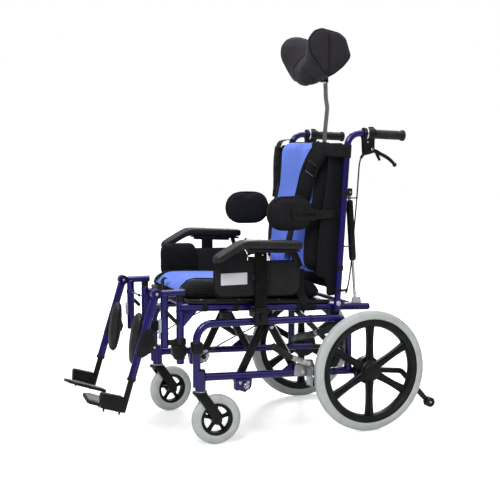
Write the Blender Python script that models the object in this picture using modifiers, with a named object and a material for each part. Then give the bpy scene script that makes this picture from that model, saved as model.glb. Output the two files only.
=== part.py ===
"""Tilt and recline wheelchair, built as separate pieces.

Sizes are in metres. Y is measured from the rear axle while the chair is built and the
chair faces -Y, so +X is the sitter's left. At the end the whole chair is centred over
the origin, with the wheels on Z = 0.
"""
import math

import bmesh
import bpy
from mathutils import Matrix, Vector

# Clearances
TOUCH = 0.0003
RUN = 0.0005

# Wheels
REAR_WHEEL_R = 0.203
REAR_TYRE_DEPTH = 0.028
REAR_RIM_R = REAR_WHEEL_R - REAR_TYRE_DEPTH
REAR_WHEEL_X = 0.272
REAR_TYRE_W = 0.036
REAR_HUB_R = 0.030
REAR_SPOKES = 6
DRUM_R = 0.046
AXLE_R = 0.0075
CASTER_R = 0.081
CASTER_TYRE_DEPTH = 0.0285
CASTER_RIM_R = CASTER_R - CASTER_TYRE_DEPTH
CASTER_TYRE_W = 0.032
CASTER_SPOKES = 5
CASTER_TRAIL = 0.052
CASTER_STEM_Y = -0.585
CASTER_YAW = {"left": -4.0, "right": 9.0}
ROLLER_R = 0.017

# Base frame
BASE_X = 0.230
BASE_TUBE_R = 0.0125
STEM_SETBACK = 0.012
BASE_FRONT_Y = CASTER_STEM_Y - STEM_SETBACK
BASE_REAR_Y = -0.060
BASE_TOP_FRONT_Z = 0.391
BASE_TOP_REAR_Z = 0.381
LOWER_RAIL_FRONT_Z = 0.2195
LOWER_RAIL_DROP = 0.0215
HEAD_TUBE_R = 0.017
HEAD_BOTTOM_Z = 0.176
HEAD_TOP_Z = 0.240
ANTI_TIP_R = 0.0095
TILT_PIVOT = (-0.100, 0.380)
STRUT_FOOT = (-0.440, 0.190)
STRUT_HEAD = (-0.335, 0.392)
STRUT_X = 0.182
STRUT_W = 0.016

# Seat frame
SEAT_X = 0.200
SEAT_TUBE_R = 0.0125
SEAT_FRONT_Y = -0.640
SEAT_REAR_Y = 0.030
SEAT_FRONT_Z = 0.4425
SEAT_SLOPE = 0.0496
POST_FOOT_Z = 0.263
SEAT_BOARD_T = 0.012
SEAT_CUSHION_W = 0.390
SEAT_CUSHION_L = 0.500
SEAT_CUSHION_T = 0.055

# Back
BACK_X = 0.224
BACK_TUBE_R = 0.011
BACK_FOOT = (-0.100, 0.403)
BACK_SLOPE = 0.064
BACK_HANDLE_Z = 0.996
RECLINE_PIVOT = (-0.085, 0.430)
GAS_FOOT = (-0.013, 0.434)
GAS_HEAD = (-0.039, 0.798)
PIVOT_FACE_X = BACK_X - BACK_TUBE_R - 0.0008
GAS_X = 0.188
GAS_R = 0.012
BACK_BOARD_T = 0.010
BACK_CUSHION_W = 0.375
BACK_CUSHION_TOP_Z = 0.972
BACK_CUSHION_FOOT_Z = 0.520

# Armrests
ARMREST_X = 0.270
ARMREST_W = 0.054
ARMREST_T = 0.029
ARM_POST_X = 0.2525
ARM_POST_Y = -0.387
ARM_POST_W = 0.040
ARM_POST_T = 0.012
ARM_POST_FOOT_Z = 0.382
GUARD_X = 0.2340
GUARD_T = 0.012

# Leg rests
LEG_X = 0.195
LEG_TUBE_R = 0.0125
HANGER_SETOUT = 0.052
HANGER_Y = SEAT_FRONT_Y - HANGER_SETOUT
KNEE = (HANGER_Y - 0.028, 0.489)
LEG_END = (KNEE[0] - 0.082, 0.221)
FOOT_END = (KNEE[0] - 0.111, 0.124)
FOOTPLATE_W = 0.100
FOOTPLATE_T = 0.011
FOOTPLATE_TILT = 19.0
FOOTPLATE_ROLL = 6.0

PURPLE = ("frame_purple", (0.030, 0.018, 0.260), 0.28, 0.6)
BLACK = ("moulded_black", (0.012, 0.012, 0.013), 0.5, 0.0)
STEEL = ("plated_steel", (0.62, 0.62, 0.63), 0.3, 1.0)
TYRE = ("grey_tyre", (0.52, 0.56, 0.55), 0.7, 0.0)
CLOTH = ("black_cloth", (0.014, 0.014, 0.016), 0.9, 0.0)
RUBBER = ("grip_rubber", (0.03, 0.03, 0.033), 0.7, 0.0)


def start():
    """Empty the scene and make the collection and the empty that carries the chair."""
    for obj in list(bpy.data.objects):
        bpy.data.objects.remove(obj, do_unlink=True)
    collection = bpy.data.collections.new("wheelchair")
    bpy.context.scene.collection.children.link(collection)
    root = bpy.data.objects.new("chair_origin", None)
    collection.objects.link(root)
    return collection, root


chair, origin = start()


def material(look):
    """The Principled material of one kind of surface, made once."""
    name, colour, roughness, metallic = look
    found = bpy.data.materials.get(name)
    if found:
        return found
    made = bpy.data.materials.new(name)
    made.use_nodes = True
    shader = made.node_tree.nodes["Principled BSDF"]
    shader.inputs["Base Color"].default_value = (*colour, 1.0)
    shader.inputs["Roughness"].default_value = roughness
    shader.inputs["Metallic"].default_value = metallic
    made.diffuse_color = (*colour, 1.0)
    return made


def from_bmesh(bm):
    """A loose piece made of a finished bmesh, with its faces turned outward."""
    bmesh.ops.recalc_face_normals(bm, faces=bm.faces)
    mesh = bpy.data.meshes.new("piece")
    bm.to_mesh(mesh)
    bm.free()
    piece = bpy.data.objects.new("piece", mesh)
    chair.objects.link(piece)
    return piece


def baked(source):
    """Replace a curve or a piece with modifiers by a plain mesh piece."""
    depsgraph = bpy.context.evaluated_depsgraph_get()
    mesh = bpy.data.meshes.new_from_object(source.evaluated_get(depsgraph))
    bm = bmesh.new()
    bm.from_mesh(mesh)
    bmesh.ops.remove_doubles(bm, verts=bm.verts, dist=0.00001)
    bmesh.ops.transform(bm, matrix=source.matrix_world, verts=bm.verts)
    bpy.data.objects.remove(source, do_unlink=True)
    bpy.data.meshes.remove(mesh)
    return from_bmesh(bm)


def along(axis, centre):
    """Matrix that puts local Z along an axis letter, at a centre."""
    turn = {"X": Matrix.Rotation(math.pi / 2, 4, "Y"),
            "Y": Matrix.Rotation(-math.pi / 2, 4, "X"),
            "Z": Matrix.Identity(4)}[axis]
    return Matrix.Translation(centre) @ turn


def from_to(start_point, end_point):
    """Matrix whose Z runs from one point toward another, placed midway."""
    way = Vector(end_point) - Vector(start_point)
    middle = (Vector(end_point) + Vector(start_point)) / 2
    return Matrix.Translation(middle) @ way.to_track_quat("Z", "Y").to_matrix().to_4x4()


def box(low, high, bevel=0.0):
    """Box between two corners."""
    low, high = Vector(low), Vector(high)
    bm = bmesh.new()
    bmesh.ops.create_cube(bm, size=1.0)
    size = Matrix.Diagonal((*[abs(a - b) for a, b in zip(high, low)], 1.0))
    bmesh.ops.transform(bm, matrix=Matrix.Translation((low + high) / 2) @ size, verts=bm.verts)
    if bevel:
        bmesh.ops.bevel(bm, geom=bm.edges[:], offset=bevel, segments=1, affect="EDGES")
    return from_bmesh(bm)


def bar(start_point, end_point, width, depth):
    """Flat bar between two points, its width in the YZ plane and its depth along X."""
    start_point, end_point = Vector(start_point), Vector(end_point)
    way = (end_point - start_point).normalized()
    side = way.cross(Vector((1, 0, 0))).normalized()
    third = side.cross(way)
    frame = Matrix((third, side, way)).transposed().to_4x4()
    frame.translation = (start_point + end_point) / 2
    bm = bmesh.new()
    bmesh.ops.create_cube(bm, size=1.0)
    size = Matrix.Diagonal((depth, width, (end_point - start_point).length, 1.0))
    bmesh.ops.transform(bm, matrix=frame @ size, verts=bm.verts)
    return from_bmesh(bm)


def cylinder(radius, start_point, end_point, sides=16, end_radius=None):
    """Round bar between two points, tapered where it has an end radius."""
    end_radius = radius if end_radius is None else end_radius
    length = (Vector(end_point) - Vector(start_point)).length
    bm = bmesh.new()
    bmesh.ops.create_cone(bm, cap_ends=True, segments=sides, radius1=radius,
                          radius2=end_radius, depth=length)
    bmesh.ops.transform(bm, matrix=from_to(start_point, end_point), verts=bm.verts)
    return from_bmesh(bm)


def rounded(points, radius, steps=4, closed=False):
    """The points of a broken line with its corners turned into arcs."""
    points = [Vector(p) for p in points]
    count = len(points)
    result = []
    for i, corner in enumerate(points):
        if not closed and i in (0, count - 1):
            result.append(corner)
            continue
        back = points[i - 1] - corner
        ahead = points[(i + 1) % count] - corner
        half = back.angle(ahead) / 2
        if half > math.radians(88) or radius <= 0:
            result.append(corner)
            continue
        reach = min(radius / math.tan(half), back.length * 0.48, ahead.length * 0.48)
        turn = reach * math.tan(half)
        bisector = (back.normalized() + ahead.normalized()).normalized()
        centre = corner + bisector * (turn / math.sin(half))
        first = corner + back.normalized() * reach - centre
        last = corner + ahead.normalized() * reach - centre
        for k in range(steps + 1):
            result.append(centre + first.slerp(last, k / steps).normalized() * turn)
    return result


def tube(points, radius, bend=0.0, sides=10, steps=3):
    """Bent round tube through its corner points."""
    data = bpy.data.curves.new("tube", "CURVE")
    data.dimensions = "3D"
    data.bevel_depth = radius
    data.bevel_resolution = sides // 2 - 2
    data.use_fill_caps = True
    path = rounded(points, bend, steps)
    spline = data.splines.new("POLY")
    spline.points.add(len(path) - 1)
    for point, place in zip(spline.points, path):
        point.co = (*place, 1.0)
    curve = bpy.data.objects.new("tube", data)
    chair.objects.link(curve)
    return baked(curve)


PLANES = {
    "YZ": Matrix(((0, 0, 1, 0), (1, 0, 0, 0), (0, 1, 0, 0), (0, 0, 0, 1))),
    "XZ": Matrix(((1, 0, 0, 0), (0, 0, -1, 0), (0, 1, 0, 0), (0, 0, 0, 1))),
    "XY": Matrix.Identity(4),
}


def plate(outline, low, high, plane="YZ", holes=(), corner=0.0, steps=3):
    """Flat outline in a plane, as thick as the way from low to high along its normal."""
    data = bpy.data.curves.new("plate", "CURVE")
    data.dimensions = "2D"
    data.fill_mode = "BOTH"
    data.extrude = abs(high - low) / 2
    flat = [Vector((a, b, 0)) for a, b in outline]
    loops = [rounded(flat, corner, steps, closed=True)]
    loops += [[Vector((a, b, 0)) for a, b in hole] for hole in holes]
    for loop in loops:
        spline = data.splines.new("POLY")
        spline.points.add(len(loop) - 1)
        for point, place in zip(spline.points, loop):
            point.co = (*place, 1.0)
        spline.use_cyclic_u = True
    curve = bpy.data.objects.new("plate", data)
    chair.objects.link(curve)
    facing = -1 if plane == "XZ" else 1
    curve.matrix_world = PLANES[plane] @ Matrix.Translation((0, 0, facing * (low + high) / 2))
    bpy.context.view_layer.update()
    return baked(curve)


def turned(profile, matrix, steps=24, ring=False):
    """Profile of (radius, height) points turned about local Z; a ring closes on itself."""
    mesh = bpy.data.meshes.new("profile")
    count = len(profile)
    edges = [(i, i + 1) for i in range(count - 1)]
    if ring:
        edges.append((count - 1, 0))
    mesh.from_pydata([(r, 0, h) for r, h in profile], edges, [])
    piece = bpy.data.objects.new("turned", mesh)
    chair.objects.link(piece)
    screw = piece.modifiers.new("turn", "SCREW")
    screw.steps = steps
    screw.render_steps = steps
    screw.use_merge_vertices = True
    screw.merge_threshold = 0.00001
    piece.matrix_world = matrix
    bpy.context.view_layer.update()
    return baked(piece)


def loft(rings, crown_first=0.0, crown_last=0.0):
    """Skin through rings of equal point counts, its two ends domed to a middle point."""
    bm = bmesh.new()
    loops = [[bm.verts.new(point) for point in ring] for ring in rings]
    count = len(rings[0])
    for lower, upper in zip(loops, loops[1:]):
        for i in range(count):
            j = (i + 1) % count
            bm.faces.new((lower[i], lower[j], upper[j], upper[i]))
    for loop, inner, crown in ((loops[0], rings[1], crown_first),
                               (loops[-1], rings[-2], crown_last)):
        middle = sum((v.co for v in loop), Vector()) / count
        behind = sum((Vector(p) for p in inner), Vector()) / count
        way = middle - behind
        lift = way.normalized() * crown if way.length > 0 else Vector()
        tip = bm.verts.new(middle + lift)
        for i in range(count):
            bm.faces.new((loop[i], loop[(i + 1) % count], tip))
    return from_bmesh(bm)


def combine(base, other, how):
    """Boolean of one piece with another, which is used up."""
    modifier = base.modifiers.new(how, "BOOLEAN")
    modifier.operation = how
    modifier.solver = "EXACT"
    modifier.object = other
    joined = baked(base)
    bpy.data.objects.remove(other, do_unlink=True)
    return joined


def part(name, pieces, look, pivot=(0, 0, 0), cuts=(), sharp=35.0):
    """Weld pieces into one named sub-part, cut it, and set its origin on its pivot."""
    body = pieces[0]
    for piece in pieces[1:]:
        body = combine(body, piece, "UNION")
    for cut in cuts:
        body = combine(body, cut, "DIFFERENCE")
    body.name = name
    body.data.name = name
    body.data.materials.clear()
    body.data.materials.append(material(look))
    body.data.transform(Matrix.Translation(-Vector(pivot)))
    body.data.shade_smooth()
    body.data.set_sharp_from_angle(angle=math.radians(sharp))
    body.location = pivot
    body.parent = origin
    return body


def sides():
    """The two sides of the chair: name and sign of X."""
    return (("left", 1), ("right", -1))


def rail_z(y):
    """Height of the seat rail's middle line, which falls toward the back."""
    return SEAT_FRONT_Z - SEAT_SLOPE * (y - SEAT_FRONT_Y)


def post_y(z):
    """Y of the back post's middle line at a height."""
    return BACK_FOOT[0] + BACK_SLOPE * (z - BACK_FOOT[1])


def lower_rail_z(y):
    """Height of the base's lower rail, level with the axle at the rear."""
    return LOWER_RAIL_FRONT_Z + LOWER_RAIL_DROP * (y - CASTER_STEM_Y) / CASTER_STEM_Y


def top_rail_z(y):
    """Height of the base's top rail."""
    share = (y - BASE_FRONT_Y) / (BASE_REAR_Y - BASE_FRONT_Y)
    return BASE_TOP_FRONT_Z + share * (BASE_TOP_REAR_Z - BASE_TOP_FRONT_Z)


ANTI_TIP_KNEE = (0.146, 0.183)
ANTI_TIP_END = (0.235, 0.086)
ROLLER_AXLE = (0.259, 0.064)
ROLLER_EYE_T = 0.006
ROLLER_AXLE_R = 0.004
BACKING_OUT_X = BASE_X + BASE_TUBE_R + 0.004
STEM_R = 0.006
STEM_TOP_Z = 0.225
LOCK_GAP = 0.0135
LOCK_SHOE_Y = -REAR_WHEEL_R - LOCK_GAP
LOCK_PIVOT = (LOCK_SHOE_Y + 0.0025, 0.238)
LOCK_PLATE_X = BASE_X + BASE_TUBE_R + 0.004
PIN_R = 0.005
PIN_PLAY = 0.0005


def base_frame(side, s):
    """One side of the base: bent main tube, lower rail, head tube, brackets and anti-tip arm."""
    x = s * BASE_X
    outer = s * (BASE_X + BASE_TUBE_R)
    main = tube([(x, BASE_FRONT_Y, HEAD_BOTTOM_Z + 0.012),
                 (x, BASE_FRONT_Y, BASE_TOP_FRONT_Z),
                 (x, BASE_REAR_Y, BASE_TOP_REAR_Z),
                 (x, BASE_REAR_Y, lower_rail_z(BASE_REAR_Y))], BASE_TUBE_R, bend=0.052)
    rail = tube([(x, CASTER_STEM_Y, lower_rail_z(CASTER_STEM_Y)),
                 (x, 0.024, lower_rail_z(0.024))], BASE_TUBE_R)
    head = cylinder(HEAD_TUBE_R, (x, CASTER_STEM_Y, HEAD_BOTTOM_Z), (x, CASTER_STEM_Y, HEAD_TOP_Z), 14)
    arm = tube([(x, 0.010, lower_rail_z(0.010)),
                (x, *ANTI_TIP_KNEE),
                (x, *ANTI_TIP_END)], ANTI_TIP_R, bend=0.03, sides=8)
    eye = bar((x, ANTI_TIP_END[0] - 0.008, ANTI_TIP_END[1] + 0.007),
              (x, ROLLER_AXLE[0] + 0.006, ROLLER_AXLE[1] - 0.005), 0.017, ROLLER_EYE_T)
    axle = cylinder(AXLE_R, (x, 0, REAR_WHEEL_R), (s * (REAR_WHEEL_X + 0.012), 0, REAR_WHEEL_R), 12)
    backing = cylinder(DRUM_R, (s * (BASE_X + 0.009), 0, REAR_WHEEL_R),
                       (s * BACKING_OUT_X, 0, REAR_WHEEL_R), 24)
    lock_y, lock_z = LOCK_PIVOT
    gusset = plate([(lock_y - 0.104, lower_rail_z(lock_y - 0.104)), (lock_y - 0.054, lock_z + 0.005),
                    (lock_y + 0.014, lower_rail_z(lock_y + 0.014))], x - 0.003, x + 0.003)
    lock_plate = plate([(lock_y - 0.052, lock_z - 0.038), (lock_y - 0.048, lock_z - 0.002),
                        (lock_y - 0.018, lock_z + 0.016), (lock_y + 0.015, lock_z + 0.014),
                        (lock_y + 0.026, lock_z - 0.016), (lock_y + 0.014, lock_z - 0.040)],
                       outer - s * 0.003, s * LOCK_PLATE_X, corner=0.008, steps=2)
    rear_stay = plate([(-0.068, 0.335), (-0.068, 0.376), (-0.125, 0.376)], x - 0.003, x + 0.003)
    pivot_boss = cylinder(0.013, (x, *TILT_PIVOT), (s * (PIVOT_FACE_X + TOUCH), *TILT_PIVOT), 14)
    grip = BASE_TUBE_R + 0.005
    front_clamp = box((x - grip, BASE_FRONT_Y - grip, 0.297),
                      (x + grip, BASE_FRONT_Y + grip, 0.334), bevel=0.0035)
    saddle_y = -0.492
    saddle = box((s * (SEAT_X - 0.010), saddle_y - 0.013, top_rail_z(saddle_y) - 0.004),
                 (s * (BASE_X + 0.006), saddle_y + 0.013,
                  rail_z(saddle_y + 0.013) - SEAT_TUBE_R - TOUCH))
    foot_y, foot_z = STRUT_FOOT
    foot = box((s * (BASE_X - 0.018), foot_y - 0.027, foot_z - 0.024),
               (s * (BASE_X + 0.009), foot_y + 0.025, lower_rail_z(foot_y)), bevel=0.004)
    foot_pin = cylinder(PIN_R, (s * (STRUT_X - STRUT_W / 2 - 0.003), *STRUT_FOOT),
                        (x, *STRUT_FOOT), 10)
    knob = cylinder(0.010, (x, foot_y + 0.004, foot_z - 0.007),
                    (s * (BASE_X + 0.027), foot_y + 0.004, foot_z - 0.007), 12)
    brace_x = s * (BASE_X - 0.024)
    brace = bar((brace_x, -0.336, 0.371), (brace_x, -0.246, 0.212), 0.022, 0.014)
    brace_top = cylinder(0.007, (brace_x, -0.331, 0.366), (x, -0.331, top_rail_z(-0.331)), 10)
    brace_foot = cylinder(0.007, (brace_x, -0.250, 0.220), (x, -0.250, lower_rail_z(-0.250)), 10)
    bore = cylinder(STEM_R + PIN_PLAY, (x, CASTER_STEM_Y, HEAD_BOTTOM_Z - 0.01),
                    (x, CASTER_STEM_Y, STEM_TOP_Z + RUN), 12)
    eye_bore = cylinder(ROLLER_AXLE_R + PIN_PLAY, (x - 0.02, *ROLLER_AXLE),
                        (x + 0.02, *ROLLER_AXLE), 12)
    part("base_frame_" + side,
         [main, rail, head, arm, eye, axle, backing, gusset, lock_plate, rear_stay, pivot_boss,
          front_clamp, saddle, foot, foot_pin, knob, brace, brace_top, brace_foot],
         PURPLE, pivot=(x, 0, REAR_WHEEL_R), cuts=[bore, eye_bore])


def cross_brace():
    """Two flat bars crossed between the side frames and bolted in the middle."""
    end_x = BASE_X - BASE_TUBE_R - TOUCH
    high, low = 0.350, 0.232
    middle = (high + low) / 2
    bars = []
    for s in (1, -1):
        bars.append(plate([(-s * end_x, low - 0.012), (-s * end_x, low + 0.012),
                           (s * end_x, high + 0.012), (s * end_x, high - 0.012)],
                          BASE_REAR_Y - 0.008, BASE_REAR_Y + 0.008, plane="XZ"))
    bolt = cylinder(0.009, (0, BASE_REAR_Y - 0.014, middle), (0, BASE_REAR_Y + 0.014, middle), 12)
    part("cross_brace", [*bars, bolt], BLACK, pivot=(0, BASE_REAR_Y, middle))


def caster(side, s):
    """Swivelling caster: fork with stem and axle, spoked wheel and tyre."""
    x, y = s * BASE_X, CASTER_STEM_Y
    hub_y = y + CASTER_TRAIL
    hub_half = 0.0202
    blade_in = hub_half + TOUCH
    crown_z = CASTER_R * 2 - 0.002
    crown = box((x - blade_in - 0.004, y - 0.021, crown_z), (x + blade_in + 0.004, y + 0.019,
                                                             crown_z + 0.012), bevel=0.002)
    washer = cylinder(0.014, (x, y, crown_z + 0.008), (x, y, HEAD_BOTTOM_Z - TOUCH), 14)
    stem = cylinder(STEM_R, (x, y, crown_z + 0.004), (x, y, STEM_TOP_Z), 12)
    pieces = [crown, washer, stem]
    blade = [(y - 0.020, crown_z + 0.008), (y + 0.016, crown_z + 0.008),
             (hub_y + 0.015, CASTER_R + 0.008), (hub_y + 0.010, CASTER_R - 0.014),
             (hub_y - 0.010, CASTER_R - 0.014), (hub_y - 0.017, CASTER_R + 0.008)]
    for hand in (1, -1):
        pieces.append(plate(blade, x + hand * blade_in, x + hand * (blade_in + 0.0045),
                            corner=0.007, steps=2))
    pieces.append(cylinder(0.004, (x - blade_in - 0.007, hub_y, CASTER_R),
                           (x + blade_in + 0.007, hub_y, CASTER_R), 10))
    fork = part("caster_fork_" + side, pieces, BLACK, pivot=(x, y, CASTER_R))

    centre = (x, hub_y, CASTER_R)
    rim_out = CASTER_RIM_R - TOUCH
    rim = turned([(rim_out - 0.008, -0.010), (rim_out - 0.005, -0.0125), (rim_out, -0.0125),
                  (rim_out, 0.0125), (rim_out - 0.005, 0.0125), (rim_out - 0.008, 0.010)],
                 along("X", centre), steps=20, ring=True)
    pieces = [rim, cylinder(0.015, (x - hub_half, hub_y, CASTER_R), (x + hub_half, hub_y, CASTER_R), 14)]
    for k in range(CASTER_SPOKES):
        turn = math.pi / 2 + 2 * math.pi * k / CASTER_SPOKES
        way = Vector((0, math.cos(turn), math.sin(turn)))
        pieces.append(bar(Vector(centre) + way * 0.008, Vector(centre) + way * (rim_out - 0.005),
                          0.011, 0.012))
    bore = cylinder(0.004 + PIN_PLAY, (x - 0.03, hub_y, CASTER_R), (x + 0.03, hub_y, CASTER_R), 12)
    wheel = part("caster_wheel_" + side, pieces, BLACK, pivot=centre, cuts=[bore])

    half = CASTER_TYRE_W / 2
    tyre = part("caster_tyre_" + side,
                [turned([(CASTER_RIM_R, -half + 0.004), (CASTER_RIM_R + 0.008, -half),
                         (CASTER_R - 0.008, -half + 0.0015), (CASTER_R, -half + 0.010),
                         (CASTER_R, half - 0.010), (CASTER_R - 0.008, half - 0.0015),
                         (CASTER_RIM_R + 0.008, half), (CASTER_RIM_R, half - 0.004)],
                        along("X", centre), steps=20, ring=True)],
                TYRE, pivot=centre)
    yaw = math.radians(CASTER_YAW[side])
    stem_foot = Vector((x, y, 0))
    for piece in (fork, wheel, tyre):
        piece.location = stem_foot + Matrix.Rotation(yaw, 3, "Z") @ (piece.location - stem_foot)
        piece.rotation_euler.z = yaw


def rear_wheel(side, s):
    """Moulded rear wheel with brake drum, and its solid tyre."""
    x = s * REAR_WHEEL_X
    centre = (x, 0, REAR_WHEEL_R)
    rim_out = REAR_RIM_R - TOUCH
    rim = turned([(rim_out - 0.022, -0.010), (rim_out - 0.015, -0.0145), (rim_out, -0.0145),
                  (rim_out, 0.0145), (rim_out - 0.015, 0.0145), (rim_out - 0.022, 0.010)],
                 along("X", centre), steps=36, ring=True)
    drum_in = s * (BACKING_OUT_X + RUN)
    drum = cylinder(DRUM_R, (drum_in, 0, REAR_WHEEL_R), (x, 0, REAR_WHEEL_R), 24)
    hub = cylinder(REAR_HUB_R, (x - s * 0.004, 0, REAR_WHEEL_R), (x + s * 0.026, 0, REAR_WHEEL_R), 20)
    cap = cylinder(REAR_HUB_R - 0.006, (x, 0, REAR_WHEEL_R), (x + s * 0.030, 0, REAR_WHEEL_R), 16)
    pieces = [rim, drum, hub, cap]
    for k in range(REAR_SPOKES):
        turn = math.pi / 2 + 2 * math.pi * k / REAR_SPOKES
        way = Vector((0, math.cos(turn), math.sin(turn)))
        pieces.append(bar(Vector(centre) + way * 0.016, Vector(centre) + way * (rim_out - 0.012),
                          0.024, 0.014))
    bore = cylinder(AXLE_R + PIN_PLAY, (drum_in - s * 0.01, 0, REAR_WHEEL_R),
                    (s * (REAR_WHEEL_X + 0.012) + s * RUN, 0, REAR_WHEEL_R), 12)
    part("rear_wheel_" + side, pieces, BLACK, pivot=centre, cuts=[bore])

    half = REAR_TYRE_W / 2
    part("rear_tyre_" + side,
         [turned([(REAR_RIM_R, -half + 0.003), (REAR_RIM_R + 0.010, -half),
                  (REAR_WHEEL_R - 0.007, -half + 0.002), (REAR_WHEEL_R, -half + 0.010),
                  (REAR_WHEEL_R, half - 0.010), (REAR_WHEEL_R - 0.007, half - 0.002),
                  (REAR_RIM_R + 0.010, half), (REAR_RIM_R, half - 0.003)],
                 along("X", centre), steps=36, ring=True)],
         TYRE, pivot=centre)


def anti_tip_roller(side, s):
    """Twin rollers on one axle, either side of the anti-tip arm's eye."""
    x = s * BASE_X
    gap = ROLLER_EYE_T / 2 + RUN
    pieces = [cylinder(ROLLER_AXLE_R, (x - 0.012, *ROLLER_AXLE), (x + 0.012, *ROLLER_AXLE), 10)]
    for hand in (1, -1):
        pieces.append(cylinder(ROLLER_R, (x + hand * gap, *ROLLER_AXLE),
                               (x + hand * (gap + 0.010), *ROLLER_AXLE), 18))
    part("anti_tip_roller_" + side, pieces, BLACK, pivot=(x, *ROLLER_AXLE))


def wheel_lock(side, s):
    """Wheel lock: lever with a ribbed grip, and the shoe that swings against the tyre."""
    inner = LOCK_PLATE_X + TOUCH
    x = s * (inner + 0.0025)
    lock_y, lock_z = LOCK_PIVOT
    root, tip = (lock_y - 0.068, lock_z + 0.027), (lock_y - 0.132, lock_z + 0.070)
    link = bar((x, lock_y + 0.006, lock_z - 0.002), (x, root[0] - 0.004, root[1] + 0.003),
               0.018, 0.005)
    grip = tube([(x, root[0] + 0.004, root[1] - 0.003), (x, *tip)], 0.0115, sides=10)
    shoe_foot_z = lock_z - 0.070
    web = plate([(lock_y - 0.012, lock_z + 0.006), (lock_y + 0.010, lock_z + 0.006),
                 (lock_y - 0.001, shoe_foot_z - 0.002), (LOCK_SHOE_Y - 0.0045, shoe_foot_z - 0.002)],
                s * inner, s * (inner + 0.005))
    shoe = box((s * (inner + 0.002), LOCK_SHOE_Y - 0.004, shoe_foot_z),
               (s * (REAR_WHEEL_X + 0.016), LOCK_SHOE_Y, lock_z - 0.006))
    head = cylinder(0.007, (s * (inner + 0.002), *LOCK_PIVOT), (s * (inner + 0.009), *LOCK_PIVOT), 10)
    part("wheel_lock_lever_" + side, [link, grip, web, shoe, head], STEEL, pivot=(x, *LOCK_PIVOT))


def tilt_strut(side, s):
    """Lockable tilt strut: black sleeve on the base, and its rod up to the seat."""
    x = s * STRUT_X
    foot, head = Vector((x, *STRUT_FOOT)), Vector((x, *STRUT_HEAD))
    way = (head - foot).normalized()
    sleeve = bar(foot - way * 0.010, foot + way * 0.205, 0.024, STRUT_W)
    rod_bore = cylinder(0.0055 + PIN_PLAY, foot + way * 0.055, foot + way * 0.30, 12)
    eye_bore = cylinder(PIN_R + PIN_PLAY, foot - Vector((0.02, 0, 0)), foot + Vector((0.02, 0, 0)), 12)
    part("tilt_strut_" + side, [sleeve], BLACK, pivot=foot, cuts=[rod_bore, eye_bore])
    rod = cylinder(0.0055, foot + way * 0.060, head, 12)
    eye = cylinder(0.008, head - Vector((STRUT_W / 2, 0, 0)), head + Vector((STRUT_W / 2, 0, 0)), 12)
    part("tilt_rod_" + side, [rod, eye], STEEL, pivot=head)


GAS_EYE_HALF = 0.0045
CLEVIS_T = 0.004
SOCKET_WALL = 0.003
POST_BORE_R = 0.0075
COLLAR_BORE_R = 0.0134


def board_z(y):
    """Height of the underside of the seat board, which lies on the rails."""
    return rail_z(y) + SEAT_TUBE_R + TOUCH


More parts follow.
